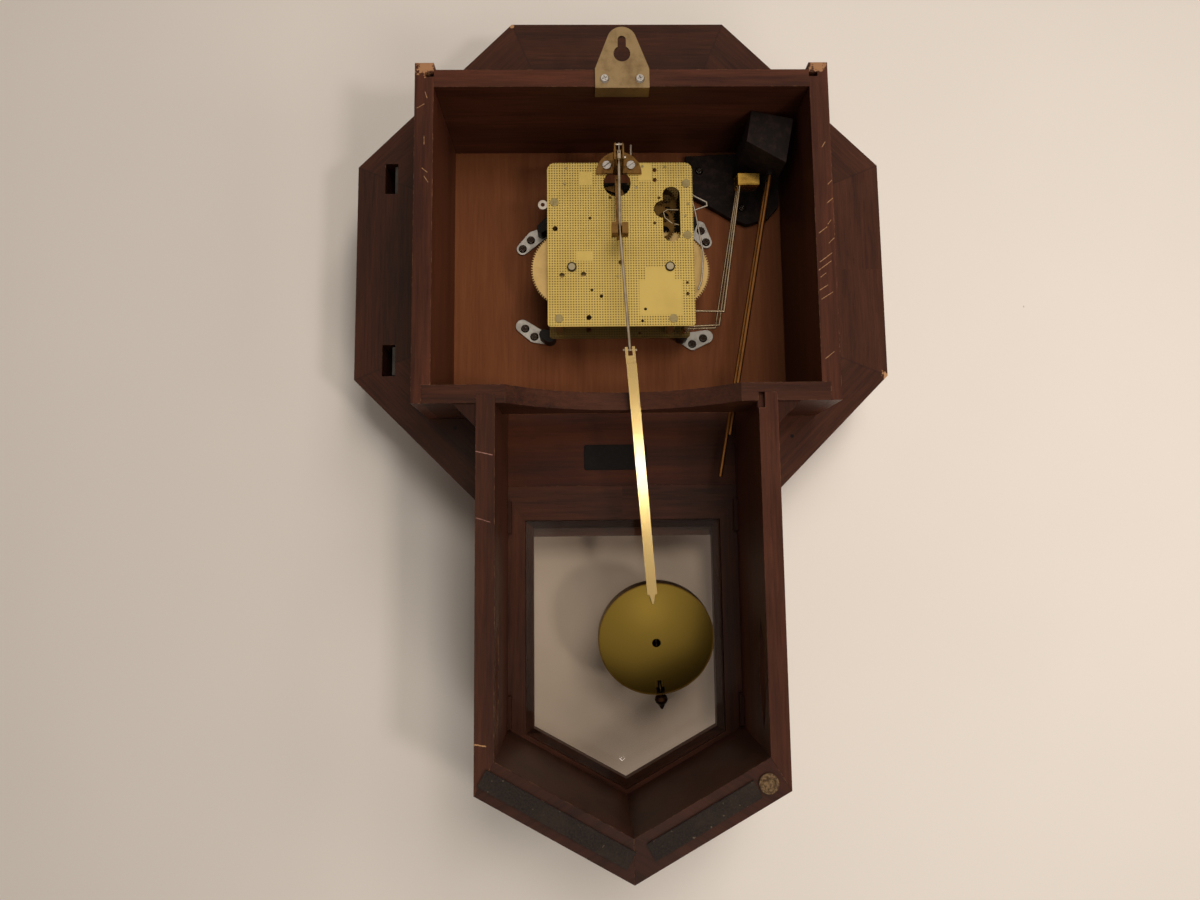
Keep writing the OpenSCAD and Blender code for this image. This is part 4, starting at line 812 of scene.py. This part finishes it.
class Finishes:
    """Every finish of the clock and the nodes that wear it."""

    left_scratches = [
        (-0.1178, -0.0794, -0.1202, -0.0770),
        (-0.1167, -0.0908, -0.1203, -0.0878),
        (-0.1114, -0.1086, -0.1161, -0.1051),
        (-0.1168, -0.1033, -0.1186, -0.1009),
        (-0.1169, -0.1146, -0.1199, -0.1117),
        (-0.1112, -0.1258, -0.1183, -0.1205),
        (-0.1105, -0.1305, -0.1176, -0.1253),
        (-0.1114, -0.1346, -0.1144, -0.1323),
        (-0.1105, -0.1422, -0.1152, -0.1393),
        (-0.1114, -0.1475, -0.1179, -0.1434),
        (-0.1153, -0.0569, -0.1172, -0.0539),
        (-0.1120, -0.1820, -0.1170, -0.1780),
    ]
    right_scratches = [
        (0.1144, -0.0226, 0.1132, -0.0263),
        (0.1189, -0.0324, 0.1149, -0.0300),
        (0.1147, -0.0495, 0.1146, -0.0543),
        (0.1156, -0.0688, 0.1127, -0.0712),
        (0.1144, -0.0736, 0.1121, -0.0772),
    ]
    left_marks = [
        Mark((-0.1150, Y_EDGE, -0.0050), PALE_WOOD, 0.0050, ragged=0.9, strength=0.8),
        *scratches(left_scratches),
    ]
    right_marks = [
        Mark((0.1150, Y_EDGE, -0.0050), PALE_WOOD, 0.0060, ragged=0.9, strength=0.9),
        Mark((0.1150, -0.0300, -0.0047), PALE_WOOD, 0.0040, ragged=1.0, strength=0.7),
        *scratches(right_scratches),
    ]
    drop_marks = [
        Mark((x0, Y_EDGE, z0), colour, width, end=(0.0840, Y_EDGE, z1), strength=strength)
        for x0, z0, z1, colour, width, strength in (
            (0.0750, -0.2345, -0.2325, SCRATCH_PINK, 0.0005, 0.8),
            (0.0760, -0.2715, -0.2690, SCRATCH_PINK, 0.0005, 0.5),
            (0.0780, -0.3900, -0.3890, SCRATCH_WOOD, 0.0008, 1.0),
        )
    ]
    ring_marks = [
        Mark((x, Y_RING_BACK, z), colour, width, ragged=ragged)
        for x, z, colour, width, ragged in (
            (-0.1052, -0.2186, NAIL, 0.0012, 0.1),
            (0.1042, -0.2115, NAIL, 0.0012, 0.1),
            (-0.1665, -0.1808, SCRATCH_WOOD, 0.0025, 1.0),
            (0.0692, 0.0545, SCRATCH_WOOD, 0.0016, 1.0),
        )
    ]

    def __init__(self) -> None:
        """Lists the finishes by node."""
        self.by_node: dict[str, Finish] = {}
        self._woods()
        self._metals()
        self._paints()
        self._plates()
        self._others()

    def _wear(self, nodes: str, finish: Finish) -> None:
        """Gives a finish to nodes whose names are listed with spaces between them."""
        self.by_node.update(dict.fromkeys(nodes.split(), finish))

    def _woods(self) -> None:
        """Boards, in rows of node, material, seed, stain, grain, worn edges and the rest."""
        dark = (srgb(84, 45, 29), srgb(42, 19, 11))
        deep = (srgb(56, 29, 19), srgb(26, 12, 7))
        ring = (srgb(72, 39, 25), srgb(32, 15, 9))
        inner = (srgb(70, 34, 18), srgb(34, 13, 7))
        board = (srgb(116, 69, 41), srgb(98, 54, 30))
        up, across, octagon = Grain.UPRIGHT, Grain.ACROSS, Grain.OCTAGON
        bare = {"rough": 0.6, "coat": 0.0}
        back = {**bare, "figure": 0.3, "bump": 0.04}
        shelf = {"rough": 0.5, "coat": 0.05, "figure": 0.6}
        for node, name, seed, stain, grain, wear, options in (
            ("side_board_left", "side_left", 1.3, dark, up, 0.6, {"marks": self.left_marks}),
            ("side_board_right", "side_right", 2.1, dark, up, 0.7, {"marks": self.right_marks}),
            ("top_rail", "top_rail", 3.2, dark, across, 0.45, {}),
            ("bottom_board", "bottom", 4.4, ring, across, 0.4, {"bump": 0.4}),
            ("drop_side_left", "drop_left", 5.2, dark, up, 0.5, {}),
            ("drop_side_right", "drop_right", 6.7, ring, up, 0.6, {"marks": self.drop_marks}),
            ("drop_floor_left", "floor_left", 7.1, deep, Grain.SLOPE_LEFT, 0.4, {}),
            ("drop_floor_right", "floor_right", 8.3, deep, Grain.SLOPE_RIGHT, 0.4, {}),
            ("glue_blocks", "blocks", 9.9, deep, up, 0.2, bare),
            ("octagon_ring", "ring", 0.6, ring, octagon, 0.5, {"marks": self.ring_marks}),
            ("dial_board", "dial_board", 1.9, board, up, 0.25, back),
            ("label_board", "label_board", 2.8, inner, across, 0.25, shelf),
            ("window_frame", "window_frame", 3.6, ring, Grain.WINDOW, 0.2, {}),
            ("door_frame", "door", 0.9, dark, octagon, 0.25, {"coat": 0.4, "rough": 0.32}),
        ):
            self._wear(node, WoodFinish(f"wood_{name}", *stain, grain, seed, wear, **options))

    def _metals(self) -> None:
        """Metals, in rows of nodes, material, colour, tarnish, roughness and the rest.

        The two numbers behind the roughness are the amount and the fineness of the tarnish.
        """
        brass = "door_bezel door_knob winding_collets hand_nut"
        steel = "door_hardware hinge_straps catch_magnet"
        arbors = "time_winding_arbor strike_winding_arbor"
        barrels = "time_barrel strike_barrel"
        forks = "suspension_bracket crutch"
        levers, leader = "springs_and_levers", "pendulum_leader"
        wheels = "centre_wheel minute_wheel hour_wheel third_wheel escape_wheel"
        wheels += " strike_wheel warning_wheel"
        # The arbors' dark steel is painted shade in the plate holes round their ends; the two light
        # spots are the ends' own steel.
        ends = [
            Mark((0.0308, -0.0395, -0.1145), srgb(168, 156, 128), 0.0022, ragged=0.0),
            Mark((-0.0298, -0.0395, -0.1145), srgb(176, 164, 136), 0.0023, ragged=0.0),
        ]
        # Painted shade: a dark band on the stick's rod where it shows through the bob's hole.
        rod_shade_end = (-0.0219, -0.0736, -0.3802)
        rod_painted_shade = Mark((-0.0170, -0.0600, -0.3260), srgb(20, 13, 8), 0.009, end=rod_shade_end)
        drawn = {"relief": 0.0}
        plain = {"relief": 0.0, "brushed": 0.0}
        soft = {"brushed": 0.15}
        gear = {"metallic": 0.85}
        arbor = {**drawn, "marks": ends}
        bar = {**plain, "coat": 1.0, "coat_low": -0.322, "marks": [rod_painted_shade]}
        disc = {**plain, "dome": ((-0.0150, -0.0697, -0.3390), 2.8)}
        for nodes, name, colour, stain, rough, tarnish, cloud, options in (
            ("hanger_plate", "hanger_steel", (158, 134, 98), (104, 80, 52), 0.36, 0.5, 90.0, soft),
            (brass, "bezel_brass", (222, 184, 96), (150, 112, 52), 0.2, 0.3, 60.0, {}),
            (steel, "hinge_steel", (70, 66, 62), (36, 30, 28), 0.45, 0.5, 60.0, {}),
            (barrels, "gear_brass", (204, 172, 112), (160, 124, 70), 0.4, 0.3, 60.0, gear),
            # The wheels' dark brass is painted shade of the movement's inside.
            (wheels, "inner_brass_painted_shade", (92, 68, 34), (46, 32, 16), 0.45, 0.5, 200.0, {}),
            (forks, "fork_brass", (132, 98, 54), (80, 54, 28), 0.38, 0.7, 220.0, {}),
            ("fly", "bright_steel", (178, 164, 138), (112, 96, 78), 0.26, 0.4, 180.0, {}),
            ("pillars", "rivet_metal", (164, 148, 104), (116, 96, 58), 0.4, 0.4, 300.0, {}),
            (arbors, "arbor_steel_painted_shade", (52, 42, 28), (36, 28, 18), 0.3, 0.3, 60.0, arbor),
            ("feet", "foot_steel", (192, 188, 180), (140, 130, 118), 0.36, 0.4, 150.0, {}),
            (levers, "wire_steel", (196, 186, 172), (130, 112, 96), 0.22, 0.4, 150.0, drawn),
            ("chime_rods", "rod_bronze", (132, 88, 46), (80, 50, 28), 0.3, 0.4, 120.0, drawn),
            (leader, "leader_steel", (176, 162, 142), (110, 86, 62), 0.26, 0.5, 120.0, drawn),
            ("pendulum_stick", "stick_brass", (184, 156, 96), (156, 126, 70), 0.2, 0.15, 60.0, bar),
            ("bob_shell", "bob_rim_brass", (104, 78, 34), (58, 42, 18), 0.35, 0.5, 60.0, {}),
            ("bob_back", "bob_back_brass", (122, 100, 42), (100, 78, 32), 0.36, 0.0, 60.0, disc),
            ("rating_nut", "nut_bronze", (58, 36, 22), (26, 16, 10), 0.3, 0.5, 60.0, {}),
        ):
            colours = (srgb(*colour), srgb(*stain))
            self._wear(nodes, MetalFinish(name, *colours, rough, tarnish, cloud, **options))

    def _paints(self) -> None:
        """Paint and iron, in rows of nodes, material, colour, specks and the rest."""
        label = {"amount": 0.1, "gloss": 0.12}
        hand = {"rough": 0.3, "amount": 0.05, "bump": 0.02}
        leg = {"amount": 0.2, "gloss": 0.25}
        iron = {"rough": 0.6, "grain": 260.0, "amount": 0.4, "bump": 0.4, "wear": 0.25}
        for nodes, name, colour, speck, options in (
            ("label_plate", "label_black", (16, 12, 11), (50, 42, 38), label),
            ("hour_hand minute_hand", "hand_black", (14, 14, 15), (50, 48, 46), hand),
            ("legs", "leg_black", (14, 10, 8), (44, 34, 28), leg),
            ("gong_block", "gong_iron", (17, 10, 8), (52, 37, 31), {**iron, "gloss": 0.2}),
        ):
            self._wear(nodes, PaintFinish(name, srgb(*colour), srgb(*speck), **options))

    def _plates(self) -> None:
        """The movement's two plates. The inner one is darker all over and has dark spots behind the
        back plate's openings, both painted shade.
        """
        smooth = [
            (-0.0236, -0.1340, 0.0138, 0.0115),
            (-0.0236, -0.1195, 0.0095, 0.0050),
            (0.0229, -0.1074, 0.0056, 0.0033),
            (0.0219, -0.0578, 0.0042, 0.0045),
            (-0.0151, -0.0533, 0.0042, 0.0060),
        ]
        spot = (0.0130, -0.0840, -0.1100)
        stains = [Mark(spot, srgb(176, 150, 74), 0.012, ragged=0.8, strength=0.4)]
        colours = (srgb(208, 180, 100), srgb(184, 156, 82), srgb(58, 40, 10))
        self._wear("back_plate", PlateFinish("plate_brass", *colours, smooth, stains))
        # Painted shade: dark spots on the inner plate where it shows through the back plate's
        # openings.
        painted_shade_spots = [
            Mark((x, -0.0640, z), srgb(12, 9, 6), width, ragged=0.2)
            for x, z, width in (
                (0.0010, -0.0560, 0.0130),
                (-0.0330, -0.0740, 0.0150),
                (-0.0330, -0.0900, 0.0130),
            )
        ]
        # The inner plate's darker brass is painted shade of the movement's inside.
        colours = (srgb(112, 90, 46), srgb(78, 58, 26), srgb(40, 26, 8))
        self._wear("front_plate", PlateFinish("inner_plate_brass_painted_shade", *colours, (), painted_shade_spots))

    def _others(self) -> None:
        """Pads, screws, glass, dial and hammers."""
        # The second colour is painted shade for the screws deep in the case.
        screw = ScrewFinish("screw_steel", srgb(196, 192, 186), srgb(58, 48, 40), deep_y=-0.070)
        hammer = HammerFinish(
            "hammer_brass",
            wire=(srgb(170, 150, 122), srgb(104, 84, 62)),
            head=(srgb(186, 148, 70), srgb(118, 84, 38)),
            head_low=-0.0592,
        )
        dial = DialFinish("dial_cream", srgb(236, 226, 196), srgb(22, 20, 20))
        self._wear("wall_pads", PadFinish("felt_and_cork", (-0.0719, -0.0008, -0.4112)))
        self._wear("screws", screw)
        self._wear("window_glass", GlassFinish("window_glass", srgb(240, 236, 231)))
        self._wear("door_glass", GlassFinish("door_glass", srgb(250, 250, 248)))
        self._wear("dial_plate", dial)
        self._wear("hammer_rear hammer_middle hammer_front", hammer)

    def apply(self, nodes: dict[str, bpy.types.Object]) -> None:
        """Gives each of the frame's nodes its material."""
        built: dict[str, bpy.types.Material] = {}
        for name, obj in nodes.items():
            finish = self.by_node[name]
            if finish.name not in built:
                built[finish.name] = finish.build()
            obj.data.materials.clear()
            obj.data.materials.append(built[finish.name])
            for polygon in obj.data.polygons:
                polygon.material_index = 0
        LOG.info("%d finishes on %d nodes", len(built), len(nodes))


def new_object(name: str, data: bpy.types.ID) -> bpy.types.Object:
    """Puts a new object with a mesh, curve, light or camera into the scene."""
    made = bpy.data.objects.new(name, data)
    bpy.context.scene.collection.objects.link(made)
    return made


class Dressing:
    """Small pieces that have no solid: the dial's numbers and one bent wire."""

    def __init__(self, ink: bpy.types.Material, wire: bpy.types.Material) -> None:
        """Keeps the materials of the dial's numbers and of the wire."""
        self.ink = ink
        self.wire = wire

    def build(self) -> None:
        """Makes all the dressing."""
        self.numbers()
        self.clip()

    def numbers(self) -> None:
        """Plain numbers from 1 to 12 on the dial."""
        for hour in range(1, 13):
            turn = math.radians(30.0 * hour)
            curve = bpy.data.curves.new(f"number_{hour}", "FONT")
            curve.body = str(hour)
            curve.size = NUMBER_SIZE
            curve.align_x = "CENTER"
            curve.align_y = "CENTER"
            curve.resolution_u = 4
            text = new_object(f"number_{hour}", curve)
            text.location = (
                DIAL_CENTRE[0] + NUMBER_RADIUS * math.sin(turn),
                Y_DIAL - PRINT_HEIGHT,
                DIAL_CENTRE[1] + NUMBER_RADIUS * math.cos(turn),
            )
            text.rotation_euler = (QUARTER, 0.0, 0.0)
            text.data.materials.append(self.ink)
            as_mesh(text)
            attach(bpy.data.objects[f"number_{hour}"], "case")

    def clip(self) -> None:
        """The bent wire that shows in the kidney-shaped opening of the back plate."""
        path = [
            (-0.0365, -0.0440, -0.0768),
            (-0.0290, -0.0430, -0.0770),
            (-0.0265, -0.0425, -0.0790),
            (-0.0275, -0.0425, -0.0825),
            (-0.0320, -0.0430, -0.0860),
            (-0.0368, -0.0440, -0.0866),
        ]
        tube("kidney_clip", path, CLIP_RADIUS, self.wire, "case")


def as_mesh(obj: bpy.types.Object) -> None:
    """Turns a text object into a mesh object of the same name, in place."""
    bpy.context.view_layer.update()
    graph = bpy.context.evaluated_depsgraph_get()
    mesh = bpy.data.meshes.new_from_object(obj.evaluated_get(graph))
    name, world = obj.name, obj.matrix_world.copy()
    bpy.data.objects.remove(obj)
    new_object(name, mesh).matrix_world = world


def tube(
    name: str,
    path: Sequence[Point],
    radius: float,
    material: bpy.types.Material,
    body: str,
) -> None:
    """Makes a round wire along a path, which moves with a CAD body."""
    curve = bpy.data.curves.new(name, "CURVE")
    curve.dimensions = "3D"
    curve.bevel_depth = radius
    curve.bevel_resolution = 3
    curve.use_fill_caps = True
    spline = curve.splines.new("POLY")
    spline.points.add(len(path) - 1)
    for point, place in zip(spline.points, path):
        point.co = (*place, 1.0)
    curve.materials.append(material)
    made = new_object(name, curve)
    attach(made, body)


WARM = (1.0, 0.95, 0.92)
MIDDLE = (0.0, -0.10, -0.20)


@dataclass
class Lamp:
    """One soft square area light, aimed at a point. Mirrors show it only if it shines."""

    name: str
    place: Point
    size: float
    power: float
    aim: Point = MIDDLE
    colour: Point = WARM
    shines: bool = False

    def build(self) -> None:
        """Makes the light."""
        data = bpy.data.lights.new(self.name, "AREA")
        data.shape = "RECTANGLE"
        data.size = data.size_y = self.size
        data.energy = self.power
        data.color = self.colour
        made = new_object(self.name, data)
        made.location = self.place
        made.visible_camera = False
        made.visible_glossy = self.shines
        made.rotation_mode = "QUATERNION"
        aim = Vector(self.aim) - Vector(self.place)
        made.rotation_quaternion = aim.to_track_quat("-Z", "Y")


class Studio:
    """The table, the light and the camera."""

    table_y = -0.1222
    table_half = 2.5
    camera_place = (0.02369, 0.45542, -0.28480)
    camera_axes = (
        (-0.99979, 0.01656, -0.01186),
        (-0.00990, 0.11402, 0.99343),
        (0.01780, 0.99334, -0.11383),
    )
    lens = 24.96
    small = {"aim": (0.0, -0.06, -0.25), "colour": (1.0, 0.97, 0.92), "shines": True}
    lamps = (
        Lamp("ceiling_light", (-0.20, 1.30, 0.20), 0.5, 6.5),
        Lamp("ceiling_glow", (-0.20, 1.30, 0.20), 0.5, 1.5, shines=True),
        Lamp("right_light", (-0.50, 1.20, 0.90), 0.6, 6.0),
        Lamp("window_light", (-0.70, 0.50, -0.30), 0.3, 1.2),
        Lamp("near_light", (-0.52, 1.00, -0.48), 0.12, 2.6),
        Lamp("low_light", (-0.45, 1.00, -1.20), 0.6, 4.6),
        Lamp("small_light", (-0.096, 1.34, -0.82), 0.1, 0.7, **small),
        Lamp("front_light", (-0.60, -2.60, 0.60), 1.2, 42.0),
        Lamp("front_fill", (1.90, -1.70, 0.40), 1.0, 14.0),
    )
    sky_strength = 0.05

    def build(self) -> None:
        """Makes all of the studio."""
        self.table()
        self.world()
        for lamp in self.lamps:
            lamp.build()
        self.camera()

    def table(self) -> None:
        """A pale table that is seen only from the clock's side."""
        half = self.table_half
        mesh = bpy.data.meshes.new("table")
        corners = [(-half, 0.0, -half), (-half, 0.0, half), (half, 0.0, half), (half, 0.0, -half)]
        mesh.from_pydata(corners, [], [(0, 1, 2, 3)])
        table = new_object("table", mesh)
        table.location = (0.0, self.table_y, -0.2)
        made, g, shader = new_material("table_top")
        where = g.node("NewGeometry").outputs
        cloud = g.noise(where["Position"], 3.0, 3.0, 0.6)
        speck = g.span(g.noise(where["Position"], 90.0, 2.0, 0.8), 0.775, 0.79)
        colour = g.mix(cloud, srgb(226, 216, 203), srgb(236, 226, 213))
        colour = g.mix(g.times(speck, 0.5), colour, srgb(150, 130, 110))
        g.fill(shader, Base_Color=colour, Roughness=0.7, Specular_IOR_Level=0.2)
        clear = g.node("BsdfTransparent")
        passing = g.node("LightPath").outputs["Is Shadow Ray"]
        unseen = g.plus(where["Backfacing"], passing, clamp=True)
        g.show(g.blend(unseen, shader.outputs[0], clear.outputs[0]))
        mesh.materials.append(made)

    def world(self) -> None:
        """A dim room for the light and a pale ground for other views."""
        world = bpy.data.worlds.new("room")
        bpy.context.scene.world = world
        world.use_nodes = True
        g = Graph(world.node_tree)
        light = g.found("BACKGROUND")
        g.fill(light, Color=srgb(252, 244, 234), Strength=self.sky_strength)
        seen = g.fill(g.node("Background"), Color=srgb(226, 216, 204))
        path = g.node("LightPath").outputs
        direct = g.plus(path["Is Camera Ray"], path["Is Glossy Ray"])
        shown = g.plus(direct, path["Is Transmission Ray"], clamp=True)
        g.show(g.blend(shown, light.outputs[0], seen.outputs[0]), "OUTPUT_WORLD")

    def camera(self) -> None:
        """A phone's wide lens above the clock's open back."""
        data = bpy.data.cameras.new("phone")
        data.sensor_width = 36.0
        data.lens = self.lens
        data.clip_start, data.clip_end = 0.02, 20.0
        data.dof.use_dof = False
        made = new_object("phone", data)
        right, up, back = (Vector(axis) for axis in self.camera_axes)
        turn = Matrix((right, up, back)).transposed().to_4x4()
        made.matrix_world = Matrix.Translation(self.camera_place) @ turn
        bpy.context.scene.camera = made


def clear_scene() -> None:
    """Removes what the default scene holds."""
    for obj in list(bpy.data.objects):
        bpy.data.objects.remove(obj)


def main() -> None:
    """Builds the whole picture."""
    logging.basicConfig(level=logging.INFO, format="%(name)s %(message)s")
    clear_scene()
    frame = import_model()
    Effects().build()
    finishes = Finishes()
    finishes.apply(frame["nodes"])
    materials = bpy.data.materials
    Dressing(materials["hand_black"], materials["bright_steel"]).build()
    Studio().build()
    bpy.context.scene.view_settings.view_transform = "Standard"


if __name__ == "__main__":
    main()
